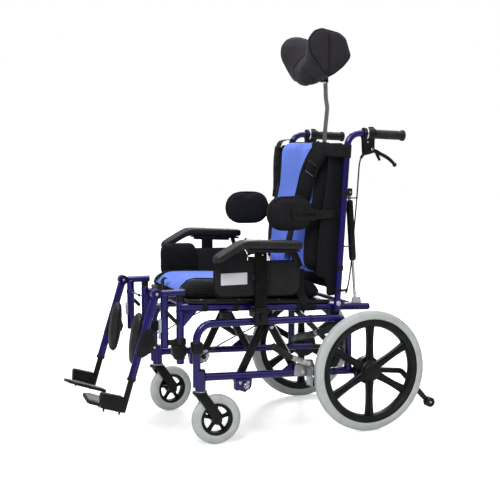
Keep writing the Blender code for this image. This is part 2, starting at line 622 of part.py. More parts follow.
def seat_side(s):
    """Pieces of one side of the seat frame and the holes cut in it."""
    x = s * SEAT_X
    leg_x = s * LEG_X
    rail = tube([(x, SEAT_FRONT_Y - 0.004, rail_z(SEAT_FRONT_Y - 0.004)),
                 (x, SEAT_REAR_Y, rail_z(SEAT_REAR_Y))], SEAT_TUBE_R)
    post = tube([(leg_x, SEAT_FRONT_Y, POST_FOOT_Z), (leg_x, SEAT_FRONT_Y, 0.462)], LEG_TUBE_R)
    front = rail_z(SEAT_FRONT_Y)
    web = plate([(SEAT_FRONT_Y + 0.004, front - 0.006), (SEAT_FRONT_Y + 0.062, front - 0.010),
                 (SEAT_FRONT_Y + 0.004, front - 0.072)], leg_x - 0.003, leg_x + 0.003)
    latch = box((leg_x - 0.017, SEAT_FRONT_Y - 0.032, 0.276),
                (leg_x + 0.017, SEAT_FRONT_Y + 0.019, 0.3215), bevel=0.003)
    pivot_y, pivot_z = TILT_PIVOT
    bracket = plate([(pivot_y - 0.022, rail_z(pivot_y)), (pivot_y + 0.018, rail_z(pivot_y)),
                     (pivot_y + 0.014, pivot_z - 0.016), (pivot_y - 0.014, pivot_z - 0.016)],
                    s * (SEAT_X + 0.004), s * PIVOT_FACE_X, corner=0.006, steps=2)
    recline_boss = cylinder(0.013, (x, *RECLINE_PIVOT), (s * (BACK_X - BACK_TUBE_R - TOUCH),
                                                         *RECLINE_PIVOT), 14)
    gas_y, gas_z = GAS_FOOT
    lug_in = GAS_X + GAS_EYE_HALF + RUN
    lug = plate([(gas_y - 0.020, rail_z(gas_y)), (gas_y + 0.020, rail_z(gas_y)),
                 (gas_y + 0.013, gas_z + 0.010), (gas_y - 0.013, gas_z + 0.010)],
                s * lug_in, s * (lug_in + 0.010), corner=0.004, steps=2)
    gas_pin = cylinder(0.004, (s * (GAS_X - GAS_EYE_HALF - 0.003), *GAS_FOOT), (x, *GAS_FOOT), 10)
    strut_y, strut_z = STRUT_HEAD
    strut_out = STRUT_X + STRUT_W / 2 + TOUCH
    strut_in = STRUT_X - STRUT_W / 2 - TOUCH
    rail_here = rail_z(strut_y)
    cheeks = [plate([(strut_y - 0.018, rail_here), (strut_y + 0.018, rail_here),
                     (strut_y + 0.011, strut_z - 0.008), (strut_y - 0.011, strut_z - 0.008)],
                    s * a, s * b)
              for a, b in ((strut_out, strut_out + CLEVIS_T), (strut_in - CLEVIS_T, strut_in))]
    bridge = box((s * (strut_in - CLEVIS_T), strut_y - 0.018, rail_here - 0.010),
                 (s * (SEAT_X - 0.004), strut_y + 0.018, rail_here + 0.004))
    post_half = ARM_POST_T / 2 + RUN
    wide = ARM_POST_W / 2 + RUN + SOCKET_WALL
    neck_foot = top_rail_z(ARM_POST_Y) + BASE_TUBE_R + 0.002
    neck = box((s * (SEAT_X + 0.006), ARM_POST_Y - wide + 0.001, neck_foot),
               (s * (ARM_POST_X - post_half), ARM_POST_Y + wide - 0.001, rail_z(ARM_POST_Y) + 0.006))
    socket = box((s * (ARM_POST_X - post_half - SOCKET_WALL), ARM_POST_Y - wide, 0.3795),
                 (s * (ARM_POST_X + post_half + SOCKET_WALL), ARM_POST_Y + wide, 0.4350))
    knob = cylinder(0.012, (s * (ARM_POST_X + post_half + 0.001), ARM_POST_Y + 0.004, 0.404),
                    (s * (ARM_POST_X + 0.022), ARM_POST_Y + 0.004, 0.404), 12)
    slot = box((s * (ARM_POST_X - post_half), ARM_POST_Y - ARM_POST_W / 2 - RUN, 0.36),
               (s * (ARM_POST_X + post_half), ARM_POST_Y + ARM_POST_W / 2 + RUN, 0.46))
    hanger_bore = cylinder(POST_BORE_R, (leg_x, SEAT_FRONT_Y, 0.432), (leg_x, SEAT_FRONT_Y, 0.48), 12)
    pieces = [rail, post, web, latch, bracket, recline_boss, lug, gas_pin, *cheeks, bridge,
              neck, socket, knob]
    return pieces, [slot, hanger_bore]


def seat_frame():
    """Seat frame: two rails with their front posts and brackets, and three cross tubes."""
    pieces, cuts = [], []
    for s in (1, -1):
        side_pieces, side_cuts = seat_side(s)
        pieces += side_pieces
        cuts += side_cuts
    for y in (-0.600, -0.300, -0.008):
        pieces.append(cylinder(0.010, (-SEAT_X, y, rail_z(y)), (SEAT_X, y, rail_z(y)), 12))
    part("seat_frame", pieces, PURPLE, pivot=(0, *TILT_PIVOT), cuts=cuts)


def seat_board():
    """Flat board screwed to the seat rails."""
    front, rear = SEAT_FRONT_Y + 0.028, -0.120
    half = SEAT_X + SEAT_TUBE_R
    part("seat_board",
         [plate([(front, board_z(front)), (rear, board_z(rear)),
                 (rear, board_z(rear) + SEAT_BOARD_T), (front, board_z(front) + SEAT_BOARD_T)],
                -half, half)],
         BLACK, pivot=(0, rear, board_z(rear)))


def cushion_outline(half_x, half_y, corner, per_side=3, steps=2):
    """Rounded rectangle with extra points along its sides."""
    corners = [(-half_x, -half_y), (half_x, -half_y), (half_x, half_y), (-half_x, half_y)]
    points = []
    for k, (x, y) in enumerate(corners):
        next_x, next_y = corners[(k + 1) % 4]
        points.append((x, y, 0))
        for i in range(1, per_side + 1):
            share = i / (per_side + 1)
            points.append((x + (next_x - x) * share, y + (next_y - y) * share, 0))
    return rounded(points, corner, steps, closed=True)


def inset_ring(outline, half_x, half_y, inset, height):
    """The outline drawn in by the same distance on every side, at a height."""
    return [Vector((p.x * (1 - inset / half_x), p.y * (1 - inset / half_y), height))
            for p in outline]


# How a stuffed cushion's skin runs: distance drawn in from the edge, and share of the thickness
STUFFED = ((0.012, 0.0), (0.003, 0.10), (0.0, 0.32), (0.001, 0.62), (0.007, 0.84), (0.018, 0.95),
           (0.033, 0.985), (0.0365, 0.925), (0.040, 0.985), (0.075, 1.02), (0.125, 1.04))


def seat_cushion():
    """Seat cushion: black borders, seam, crowned middle and a front edge that rolls over."""
    half_x, half_y = SEAT_CUSHION_W / 2, SEAT_CUSHION_L / 2
    outline = cushion_outline(half_x, half_y, 0.035)
    rings = []
    for inset, share in STUFFED:
        ring = inset_ring(outline, half_x, half_y, inset, share * SEAT_CUSHION_T)
        for point in ring:
            roll = max(0.0, (-point.y - half_y + 0.08) / 0.08)
            point.z -= 0.013 * roll * roll * share
        rings.append(ring)
    middle_y = -0.380
    cushion = loft(rings, crown_last=0.0005)
    tilt = Matrix.Rotation(-math.atan(SEAT_SLOPE), 4, "X")
    lift = board_z(middle_y) + SEAT_BOARD_T + 3 * TOUCH
    cushion.data.transform(Matrix.Translation((0, middle_y, lift)) @ tilt)
    part("seat_cushion", [cushion], CLOTH, pivot=(0, middle_y, lift), sharp=50)


HIP_PAD_AT = {"left": (-0.468, 0.5225), "right": (-0.509, 0.550)}


def side_guard(side, s):
    """Padded side panel with a thick hip pad at its front and a bare pale plate outside."""
    inner, outer = GUARD_X - GUARD_T / 2, GUARD_X + GUARD_T / 2
    panel = plate([(-0.539, 0.476), (-0.241, 0.468), (-0.239, 0.579), (-0.539, 0.586)],
                  s * inner, s * outer, corner=0.032)
    bosses = [cylinder(0.008, (s * (outer - 0.002), ARM_POST_Y, z),
                       (s * (ARM_POST_X - ARM_POST_T / 2 - TOUCH), ARM_POST_Y, z), 12)
              for z in (0.500, 0.560)]
    label = box((s * (outer - 0.002), -0.518, 0.511), (s * (outer + 0.001), -0.428, 0.549))
    pad_outline = cushion_outline(0.0685, 0.060, 0.028, per_side=1)
    centre_y, centre_z = HIP_PAD_AT[side]
    rings = [inset_ring(pad_outline, 0.0685, 0.060, inset, depth)
             for inset, depth in ((0.001, 0.0), (0.0, 0.012), (0.003, 0.022), (0.010, 0.0275),
                                  (0.022, 0.030))]
    pad = loft(rings, crown_last=0.001)
    face_out = Matrix(((0, 0, -s, s * (inner + 0.001)), (1, 0, 0, centre_y), (0, 1, 0, centre_z),
                       (0, 0, 0, 1)))
    pad.data.transform(face_out)
    if s > 0:
        pad.data.flip_normals()
    part("side_guard_" + side, [panel, *bosses, label, pad], CLOTH,
         pivot=(s * GUARD_X, ARM_POST_Y, 0.53))


ARM_TOP = ((-0.553, 0.606), (-0.458, 0.659), (-0.252, 0.648))


def arm_bottom_z(y):
    """Height of the flat underside of the armrest pad."""
    (y0, z0), (y1, z1) = ARM_TOP[1], ARM_TOP[2]
    return z0 + (y - y0) * (z1 - z0) / (y1 - y0) - ARMREST_T


def armrest(side, s):
    """Armrest: flat post with a strip along the pad and a rear catch, and the moulded pad."""
    inner, outer = ARM_POST_X - ARM_POST_T / 2, ARM_POST_X + ARM_POST_T / 2
    post = box((s * inner, ARM_POST_Y - ARM_POST_W / 2, ARM_POST_FOOT_Z),
               (s * outer, ARM_POST_Y + ARM_POST_W / 2, arm_bottom_z(ARM_POST_Y) - 0.004))
    front, rear = -0.440, -0.264
    strip = plate([(front, arm_bottom_z(front) - TOUCH), (rear, arm_bottom_z(rear) - TOUCH),
                   (rear, arm_bottom_z(rear) - 0.006), (front, arm_bottom_z(front) - 0.006)],
                  s * inner, s * (ARMREST_X + 0.018))
    catch = bar((s * (ARMREST_X - 0.004), -0.284, 0.616), (s * (ARMREST_X - 0.004), -0.271, 0.577),
                0.014, 0.012)
    part("armrest_post_" + side, [post, strip, catch], BLACK,
         pivot=(s * ARM_POST_X, ARM_POST_Y, ARM_POST_FOOT_Z))

    (tip_y, tip_z), (bend_y, bend_z), (end_y, end_z) = ARM_TOP
    outline = [(tip_y - 0.002, tip_z - 0.016), (tip_y + 0.002, tip_z + 0.003), (bend_y, bend_z),
               (end_y, end_z), (end_y, end_z - ARMREST_T),
               (bend_y + 0.006, arm_bottom_z(bend_y + 0.006)), (tip_y + 0.014, tip_z - 0.023)]
    pad = plate(outline, s * (ARMREST_X - ARMREST_W / 2), s * (ARMREST_X + ARMREST_W / 2),
                corner=0.008, steps=2)
    bm = bmesh.new()
    bm.from_mesh(pad.data)
    bmesh.ops.dissolve_limit(bm, angle_limit=math.radians(2), verts=bm.verts, edges=bm.edges)
    rim = [edge for edge in bm.edges if edge.calc_face_angle() > math.radians(60)]
    bmesh.ops.bevel(bm, geom=rim, offset=0.006, segments=2, profile=0.6, affect="EDGES")
    bpy.data.objects.remove(pad, do_unlink=True)
    part("armrest_pad_" + side, [from_bmesh(bm)], RUBBER, pivot=(s * ARMREST_X, bend_y, bend_z))


HANDLE_END_Y = 0.100
HANDLE_DROP = 0.007
CROSS_TUBE_R = 0.0077
GRIP_R = 0.0155
GRIP_BORE_R = 0.0116
LEVER_PIVOT = (0.024, BACK_HANDLE_Z - 0.055)
LEVER_T = 0.008
HEADREST_BAR_W = 0.022
HEADREST_BAR_T = 0.006
HEADREST_HINGE = (-0.037, 1.176)


def handle_z(y):
    """Height of the push handle's middle line."""
    start_y = post_y(BACK_HANDLE_Z)
    return BACK_HANDLE_Z - HANDLE_DROP * (y - start_y) / (HANDLE_END_Y - start_y)


def back_frame():
    """Back frame: two posts that bend into the push handles, cross tubes, hinge and gas clevises."""
    pieces = []
    head_y, head_z = GAS_HEAD
    for s in (1, -1):
        x = s * BACK_X
        pieces.append(tube([(x, *BACK_FOOT), (x, post_y(BACK_HANDLE_Z), BACK_HANDLE_Z),
                            (x, HANDLE_END_Y, handle_z(HANDLE_END_Y))], BACK_TUBE_R, bend=0.045))
        pieces.append(cylinder(0.013, (s * (BACK_X - BACK_TUBE_R), *RECLINE_PIVOT),
                               (x, *RECLINE_PIVOT), 14))
        inner = GAS_X - GAS_EYE_HALF - RUN
        outer = GAS_X + GAS_EYE_HALF + RUN
        pieces.append(box((s * (inner - CLEVIS_T), head_y - 0.027, head_z - 0.014),
                          (s * (BACK_X - 0.006), head_y - 0.0145, head_z + 0.014)))
        for low, high in ((inner - CLEVIS_T, inner), (outer, outer + CLEVIS_T)):
            pieces.append(plate([(head_y - 0.020, head_z - 0.012), (head_y + 0.009, head_z - 0.012),
                                 (head_y + 0.009, head_z + 0.013), (head_y - 0.020, head_z + 0.013)],
                                s * low, s * high))
    for z in (0.520, 0.935):
        pieces.append(cylinder(CROSS_TUBE_R, (-BACK_X, post_y(z), z), (BACK_X, post_y(z), z), 10))
    part("back_frame", pieces, PURPLE, pivot=(0, *RECLINE_PIVOT))


def back_board():
    """Flat board in front of the back frame's cross tubes."""
    rear = -(CROSS_TUBE_R + TOUCH) * 1.003
    front = rear - BACK_BOARD_T
    low, high = 0.478, 0.962
    part("back_board",
         [plate([(post_y(low) + front, low), (post_y(low) + rear, low),
                 (post_y(high) + rear, high), (post_y(high) + front, high)], -0.205, 0.205)],
         BLACK, pivot=(0, post_y(low) + rear, low))


def back_thickness(z):
    """Thickness of the back cushion, fuller in its lower half."""
    share = min(1.0, max(0.0, (0.84 - z) / 0.19))
    return 0.052 + 0.028 * share * share * (3 - 2 * share)


def back_skin_y(z, share):
    """Y of a point inside the back cushion, at a share of its thickness from the board."""
    board_front = CROSS_TUBE_R + TOUCH + BACK_BOARD_T + 3 * TOUCH
    return post_y(z) - board_front - share * back_thickness(z)


def back_cushion():
    """Back cushion: black borders, seam, crowned panel, fuller in its lower half."""
    half_x = BACK_CUSHION_W / 2
    half_z = (BACK_CUSHION_TOP_Z - BACK_CUSHION_FOOT_Z) / 2
    middle_z = BACK_CUSHION_FOOT_Z + half_z
    outline = cushion_outline(half_x, half_z, 0.045, per_side=4)
    rings = []
    for inset, share in STUFFED:
        ring = inset_ring(outline, half_x, half_z, inset, 0)
        rings.append([Vector((p.x, back_skin_y(middle_z + p.y, share), middle_z + p.y))
                      for p in ring])
    part("back_cushion", [loft(rings, crown_last=0.0005)], CLOTH,
         pivot=(0, back_skin_y(middle_z, 0), middle_z), sharp=50)


def ribbon(path, width, thickness):
    """Flat webbing along points; its width lies square to the path, in the XZ plane."""
    path = [Vector(p) for p in path]
    rings = []
    for i, point in enumerate(path):
        way = path[min(i + 1, len(path) - 1)] - path[max(i - 1, 0)]
        across = Vector((way.z, 0, -way.x)).normalized() * (width / 2)
        out = way.cross(across).normalized() * (thickness / 2)
        if out.y > 0:
            out = -out
        rings.append([point - across - out, point + across - out, point + across + out,
                      point - across + out])
    return loft(rings)


STRAP_W = 0.045
STRAP_T = 0.002
STRAP_LEFT = ((0.170, 0.950), (0.150, 0.915), (0.118, 0.868), (0.088, 0.825), (0.060, 0.780),
              (0.042, 0.730), (0.034, 0.680), (0.030, 0.630), (0.030, 0.575))
STRAP_RIGHT = ((-0.146, 0.950), (-0.146, 0.900), (-0.146, 0.850), (-0.146, 0.800), (-0.146, 0.750),
               (-0.146, 0.700), (-0.146, 0.650), (-0.146, 0.600), (-0.146, 0.560))


def harness_strap(side, route, lift):
    """Shoulder strap that lies down the front of the back cushion."""
    path = [(x, back_skin_y(z, 1.045) - lift, z) for x, z in route]
    part("harness_strap_" + side, [ribbon(path, STRAP_W, STRAP_T)], CLOTH, pivot=path[0])


LATERAL_Z = 0.731
LATERAL_Y = -0.256
LATERAL_IN_X = 0.171


def lateral_support(side, s):
    """Thoracic support: stuffed oval pad on a slotted arm that grips the back post."""
    half_y, half_z = 0.086, 0.0605
    outline = cushion_outline(half_y, half_z, half_z - 0.001, per_side=0, steps=3)
    rings = [inset_ring(outline, half_y, half_z, inset, depth)
             for inset, depth in ((0.022, 0.0), (0.008, 0.003), (0.001, 0.010), (0.0, 0.018),
                                  (0.002, 0.027), (0.012, 0.0345))]
    pad = loft(rings, crown_first=0.001, crown_last=0.001)
    pad.data.transform(Matrix(((0, 0, s, s * LATERAL_IN_X), (1, 0, 0, LATERAL_Y),
                               (0, 1, 0, LATERAL_Z), (0, 0, 0, 1))))
    if s < 0:
        pad.data.flip_normals()
    arm_out = BACK_X - BACK_TUBE_R - TOUCH
    arm_z = LATERAL_Z - 0.004
    arm = box((s * (arm_out - 0.0065), LATERAL_Y - 0.002, arm_z - 0.014),
              (s * (arm_out - 0.0005), post_y(arm_z) + 0.006, arm_z + 0.014))
    clamp = box((s * (arm_out - 0.0050), post_y(arm_z) - 0.013, arm_z - 0.021),
                (s * arm_out, post_y(arm_z) + 0.013, arm_z + 0.021))
    groove = box((s * (arm_out - 0.0025), LATERAL_Y + 0.012, arm_z - 0.004),
                 (s * (arm_out + 0.01), LATERAL_Y + 0.080, arm_z + 0.004))
    part("lateral_support_" + side, [pad, arm, clamp], CLOTH, pivot=(s * arm_out, post_y(arm_z), arm_z),
         cuts=[groove])


def headrest_bar_y(z):
    """Y of the straight part of the headrest bar, which runs parallel to the back posts."""
    return -0.039 + BACK_SLOPE * (z - 0.976)


def headrest():
    """Headrest bracket on the upper cross tube, the cranked bar in it, and the winged pad."""
    cross_z = 0.935
    bracket_y = post_y(cross_z) + CROSS_TUBE_R + TOUCH
    base = box((-0.045, bracket_y, cross_z - 0.020), (0.045, bracket_y + 0.005, cross_z + 0.022))
    low, high = cross_z - 0.020, cross_z + 0.022
    guide = plate([(headrest_bar_y(low) - 0.012, low), (headrest_bar_y(low) + 0.008, low),
                   (headrest_bar_y(high) + 0.008, high), (headrest_bar_y(high) - 0.012, high)],
                  -0.018, 0.018)
    knob = cylinder(0.011, (0, headrest_bar_y(cross_z) + 0.006, cross_z),
                    (0, headrest_bar_y(cross_z) + 0.024, cross_z), 12)
    half_t, half_w = HEADREST_BAR_T / 2 + 0.0004, HEADREST_BAR_W / 2 + 0.0004
    slot = plate([(headrest_bar_y(low - 0.02) - half_t, low - 0.02),
                  (headrest_bar_y(low - 0.02) + half_t, low - 0.02),
                  (headrest_bar_y(high + 0.02) + half_t, high + 0.02),
                  (headrest_bar_y(high + 0.02) - half_t, high + 0.02)], -half_w, half_w)
    part("headrest_bracket", [base, guide, knob], BLACK, pivot=(0, bracket_y, cross_z), cuts=[slot])

    half = HEADREST_BAR_T / 2
    hinge_y, hinge_z = HEADREST_HINGE
    path = [(headrest_bar_y(0.875), 0.875), (headrest_bar_y(1.005), 1.005), (-0.029, 1.085),
            (-0.035, 1.120), (hinge_y, hinge_z)]
    outline = [(y - half, z) for y, z in path] + [(y + half, z) for y, z in reversed(path)]
    blade = plate(outline, -HEADREST_BAR_W / 2, HEADREST_BAR_W / 2)
    eye = cylinder(0.007, (-HEADREST_BAR_W / 2, *HEADREST_HINGE), (HEADREST_BAR_W / 2, *HEADREST_HINGE), 12)
    part("headrest_bar", [blade, eye], STEEL, pivot=(0, headrest_bar_y(cross_z), cross_z))

    rings = [headrest_section(k / 7) for k in range(-7, 8)]
    pad = loft(rings, crown_first=0.004, crown_last=0.004)
    knuckle = box((-0.020, hinge_y - 0.036, hinge_z - 0.013), (0.020, hinge_y + 0.009, hinge_z + 0.014))
    pocket = box((-HEADREST_BAR_W / 2 - RUN, hinge_y - 0.013, hinge_z - 0.04),
                 (HEADREST_BAR_W / 2 + RUN, hinge_y + 0.030, hinge_z + 0.04))
    part("headrest_pad", [pad, knuckle], CLOTH, pivot=(0, *HEADREST_HINGE), cuts=[pocket], sharp=60)


HEADREST_HALF_W = 0.140
HEADREST_ROLL = 0.0055
# Side outlines of the headrest pad in the middle and at the wing's end: Y and Z, from the top
HEADREST_MIDDLE = ((-0.082, 1.311), (-0.094, 1.300), (-0.101, 1.280), (-0.122, 1.250),
                   (-0.136, 1.215), (-0.138, 1.185), (-0.126, 1.164), (-0.104, 1.157),
                   (-0.078, 1.160), (-0.060, 1.172), (-0.052, 1.200), (-0.049, 1.240),
                   (-0.050, 1.280), (-0.060, 1.306))
HEADREST_WING = ((-0.110, 1.346), (-0.140, 1.337), (-0.160, 1.312), (-0.163, 1.280),
                 (-0.152, 1.250), (-0.132, 1.222), (-0.112, 1.196), (-0.090, 1.172),
                 (-0.064, 1.180), (-0.036, 1.206), (-0.010, 1.238), (-0.008, 1.264),
                 (-0.020, 1.307), (-0.045, 1.333))


def headrest_section(share):
    """Side outline of the winged headrest pad at a share of its half width, from -1 to 1."""
    wide = abs(share)
    blend = wide * wide * (3 - 2 * wide)
    ring = []
    for (y, z), (wing_y, wing_z) in zip(HEADREST_MIDDLE, HEADREST_WING):
        lobe = 0.012 * math.sin(math.pi * blend) * max(0.0, (z - 1.235) / 0.076)
        ring.append(Vector((share * HEADREST_HALF_W, y + (wing_y - y) * blend,
                            z + (wing_z - z) * blend + lobe + share * HEADREST_ROLL)))
    return ring


def handle(side, s):
    """Push handle grip with the brake lever's housing, the lever and the cable."""
    x = s * BACK_X
    housing = cylinder(0.0205, (x, -0.007, handle_z(-0.007)), (x, 0.037, handle_z(0.037)), 12)
    grip = cylinder(GRIP_R, (x, 0.034, handle_z(0.034)), (x, 0.142, handle_z(0.142)), 12)
    flange = cylinder(GRIP_R + 0.003, (x, 0.140, handle_z(0.140)), (x, 0.148, handle_z(0.148)), 12)
    top, lever_z = BACK_HANDLE_Z, LEVER_PIVOT[1]
    body = plate([(-0.010, top - 0.006), (0.034, top - 0.006), (0.033, top - 0.065),
                  (-0.006, top - 0.076)], x - 0.0095, x + 0.0095, corner=0.004, steps=2)
    shifter = box((x - 0.006, 0.014, handle_z(0.02) + 0.016), (x + 0.006, 0.032, top + 0.020),
                  bevel=0.002)
    barrel = cylinder(0.005, (x, -0.002, top - 0.068), (x, -0.014, top - 0.084), 10)
    bore = cylinder(GRIP_BORE_R, (x, -0.02, handle_z(-0.02)),
                    (x, HANDLE_END_Y + RUN, handle_z(HANDLE_END_Y)), 12)
    slot = box((x - LEVER_T / 2 - RUN, 0.008, lever_z - 0.026),
               (x + LEVER_T / 2 + RUN, 0.05, lever_z + 0.016))
    part("handle_grip_" + side, [housing, grip, flange, body, shifter, barrel], RUBBER,
         pivot=(x, 0, handle_z(0)), cuts=[bore, slot])

    upper = [(0.014, 0.004), (0.033, 0.003), (0.062, -0.010), (0.092, -0.025), (0.114, -0.044)]
    lower = [(0.110, -0.054), (0.088, -0.036), (0.058, -0.021), (0.032, -0.011), (0.016, -0.009)]
    blade = plate([(y, lever_z + rise) for y, rise in upper + lower], x - LEVER_T / 2, x + LEVER_T / 2)
    ball_z = lever_z - 0.052
    ball = cylinder(0.0075, (x - 0.006, 0.1145, ball_z), (x + 0.006, 0.1145, ball_z), 12)
    part("brake_lever_" + side, [blade, ball], BLACK, pivot=(x, *LEVER_PIVOT))

    route = [(x, -0.0145, 0.9112), (x + s * 0.003, -0.021, 0.890), (x + s * 0.008, -0.027, 0.850),
             (x + s * 0.012, -0.034, 0.780), (x + s * 0.014, -0.042, 0.700),
             (x + s * 0.014, -0.049, 0.620), (x + s * 0.013, -0.055, 0.550),
             (x + s * 0.0125, -0.062, 0.500), (x + s * 0.0125, -0.070, 0.470)]
    part("brake_cable_" + side, [tube(route, 0.0025, sides=8)], RUBBER,
         pivot=route[0])


def gas_spring(side, s):
    """Recline gas spring: rod pinned on the seat frame, cylinder up to the back frame."""
    foot = Vector((s * GAS_X, *GAS_FOOT))
    head = Vector((s * GAS_X, *GAS_HEAD))
    way = (head - foot).normalized()
    half = Vector((GAS_EYE_HALF, 0, 0))
    body = cylinder(GAS_R, foot + way * 0.134, foot + way * 0.338, 16)
    neck = cylinder(0.005, foot + way * 0.330, head, 10)
    eye = cylinder(0.008, head - half, head + half, 12)
    bore = cylinder(0.0045 + PIN_PLAY, foot + way * 0.10, foot + way * 0.325, 12)
    part("gas_spring_" + side, [body, neck, eye], BLACK, pivot=foot, cuts=[bore])
    rod = cylinder(0.0045, foot, foot + way * 0.262, 12)
    lug = cylinder(0.009, foot - half, foot + half, 12)
    pin_bore = cylinder(0.004 + PIN_PLAY, foot - half * 2, foot + half * 2, 12)
    part("gas_rod_" + side, [lug, rod], STEEL, pivot=foot, cuts=[pin_bore])


KNEE_HALF = 0.0075
CHEEK_T = 0.004
FOOT_TUBE_R = 0.0095
FOOT_BORE_R = 0.0105
HINGE_LINE = (0.171, FOOT_END[0] - 0.035, FOOT_END[1] + 0.012)
BLOCK_IN_X = 0.1810
BLOCK_OUT_X = 0.2032
COVER_HALF = 0.0145
CALF_HINGE = (KNEE[0] - 0.037, 0.335)


def leg_rest(side, s):
    """Swing-away elevating leg rest: hanger, leg tube, foot tube, footplate and calf pad."""
    x = s * LEG_X
    knee = Vector((x, *KNEE))
    leg_end = Vector((x, *LEG_END))
    way = (leg_end - knee).normalized()
    side_way = Vector((1, 0, 0))
    arm = tube([(x, SEAT_FRONT_Y + 0.0135, KNEE[1]), (x, KNEE[0] + 0.0175, KNEE[1])], 0.011)
    neck = box((x - 0.0065, KNEE[0] + 0.008, KNEE[1] - 0.008), (x + 0.0065, HANGER_Y, KNEE[1] + 0.008))
    post = tube([(x, HANGER_Y, 0.318), (x, HANGER_Y, KNEE[1] - 0.003)], LEG_TUBE_R)
    barrel = cylinder(0.016, knee - side_way * KNEE_HALF, knee + side_way * KNEE_HALF, 14)
    collar = cylinder(0.012, (x, SEAT_FRONT_Y, 0.4624), (x, SEAT_FRONT_Y, KNEE[1] - 0.004), 14)
    pin = cylinder(0.006, (x, SEAT_FRONT_Y, 0.4335), (x, SEAT_FRONT_Y, 0.470), 12)
    ring = cylinder(0.019, (x, SEAT_FRONT_Y, 0.3218), (x, SEAT_FRONT_Y, 0.3418), 14)
    link = box((x - 0.008, HANGER_Y, 0.3235), (x + 0.008, SEAT_FRONT_Y, 0.3400))
    stub = cylinder(0.005, (x, HANGER_Y + 0.003, 0.428), (x + s * 0.026, HANGER_Y + 0.003, 0.428), 10)
    lever = bar((x + s * 0.023, HANGER_Y - 0.002, 0.434), (x + s * 0.023, HANGER_Y + 0.040, 0.391),
                0.012, 0.010)
    catch_rod = cylinder(0.003, (x, HANGER_Y, 0.447), (x - s * 0.110, HANGER_Y, 0.447), 8)
    post_bore = cylinder(COLLAR_BORE_R, (x, SEAT_FRONT_Y, 0.31), (x, SEAT_FRONT_Y, 0.35), 12)
    part("leg_hanger_" + side,
         [arm, neck, post, barrel, collar, pin, ring, link, stub, lever, catch_rod], PURPLE,
         pivot=(x, SEAT_FRONT_Y, 0.3418), cuts=[post_bore])

    shin = tube([knee + way * 0.024, leg_end], LEG_TUBE_R)
    pieces = [shin]
    for hand in (1, -1):
        inner = knee + side_way * hand * (KNEE_HALF + RUN)
        outer = knee + side_way * hand * (KNEE_HALF + RUN + CHEEK_T)
        pieces.append(cylinder(0.0165, inner, outer, 14))
        middle = (inner + outer) / 2
        pieces.append(bar(middle, middle + way * 0.045, 0.020, CHEEK_T - 0.001))
    knee_y = KNEE[0]
    cover = plate([(knee_y - 0.069, 0.300), (knee_y - 0.050, 0.290), (knee_y - 0.008, 0.311),
                   (knee_y - 0.002, 0.330), (knee_y - 0.017, 0.380), (knee_y - 0.044, 0.380)],
                  x - COVER_HALF, x + COVER_HALF, corner=0.006, steps=2)
    stay = cylinder(0.0035, (x, knee_y - 0.0175, 0.440), (x, knee_y - 0.025, 0.360), 8)
    stay_top = bar((x, knee_y - 0.0165, 0.440), (x, knee_y - 0.024, 0.444), 0.009, 0.007)
    pieces += [cover, stay, stay_top]
    bore = cylinder(FOOT_BORE_R, knee + way * 0.150, leg_end + way * 0.02, 12)
    part("leg_tube_" + side, pieces, PURPLE, pivot=knee, cuts=[bore])

    foot_end = Vector((x, *FOOT_END))
    stem = tube([knee + way * 0.190, foot_end], FOOT_TUBE_R)
    foot_y, foot_z = FOOT_END
    block = plate([(foot_y - 0.070, foot_z + 0.068), (foot_y + 0.003, foot_z + 0.047),
                   (foot_y + 0.007, foot_z - 0.006), (foot_y - 0.072, foot_z + 0.018)],
                  s * BLOCK_IN_X, s * BLOCK_OUT_X, corner=0.006, steps=2)
    pegs = [cylinder(0.004, (s * 0.192, y, z), (s * 0.192, y - 0.002, z - 0.014), 8, end_radius=0.0025)
            for y, z in ((foot_y - 0.059, foot_z + 0.018), (foot_y - 0.009, foot_z + 0.003))]
    part("foot_tube_" + side, [stem, block, *pegs], BLACK, pivot=foot_end)

    hinge = Vector((s * HINGE_LINE[0], HINGE_LINE[1], HINGE_LINE[2]))
    edge = 0.0065
    outline = [(-edge, 0.056), (-edge, -0.075), (FOOTPLATE_W - edge - 0.018, -0.075),
               (FOOTPLATE_W - edge, -0.052), (FOOTPLATE_W - edge, 0.056)]
    tread = plate([(-s * u, v) for u, v in outline], -FOOTPLATE_T / 2, FOOTPLATE_T / 2,
                  plane="XY", corner=0.010, steps=3)
    hinge_barrel = cylinder(0.0095, (0, -0.036, 0), (0, 0.036, 0), 14)
    for piece in (tread, hinge_barrel):
        lean = Matrix.Rotation(-math.radians(FOOTPLATE_TILT), 4, "X")
        roll = Matrix.Rotation(s * math.radians(FOOTPLATE_ROLL), 4, "Y")
        piece.data.transform(Matrix.Translation(hinge) @ lean @ roll)
    part("footplate_" + side, [tread, hinge_barrel], BLACK, pivot=hinge)

    half_x, half_z = 0.036, 0.087
    outline = cushion_outline(half_x, half_z, half_x - 0.001, per_side=0, steps=4)
    rings = [inset_ring(outline, half_x, half_z, inset, depth)
             for inset, depth in ((0.010, 0.0), (0.002, 0.004), (0.0, 0.011), (0.003, 0.020),
                                  (0.012, 0.026))]
    pad = loft(rings, crown_first=0.001, crown_last=0.002)
    pad_x, pad_y = s * 0.128, CALF_HINGE[0] + 0.003
    shear = Matrix(((1, 0, 0, pad_x), (0, 0.130, -1, pad_y), (0, 1, 0, 0.339), (0, 0, 0, 1)))
    pad.data.transform(shear)
    arm = cylinder(0.006, (pad_x, *CALF_HINGE),
                   (s * (LEG_X - COVER_HALF - TOUCH), *CALF_HINGE), 10)
    part("calf_pad_" + side, [pad, arm], CLOTH, pivot=(s * (LEG_X - COVER_HALF), *CALF_HINGE))


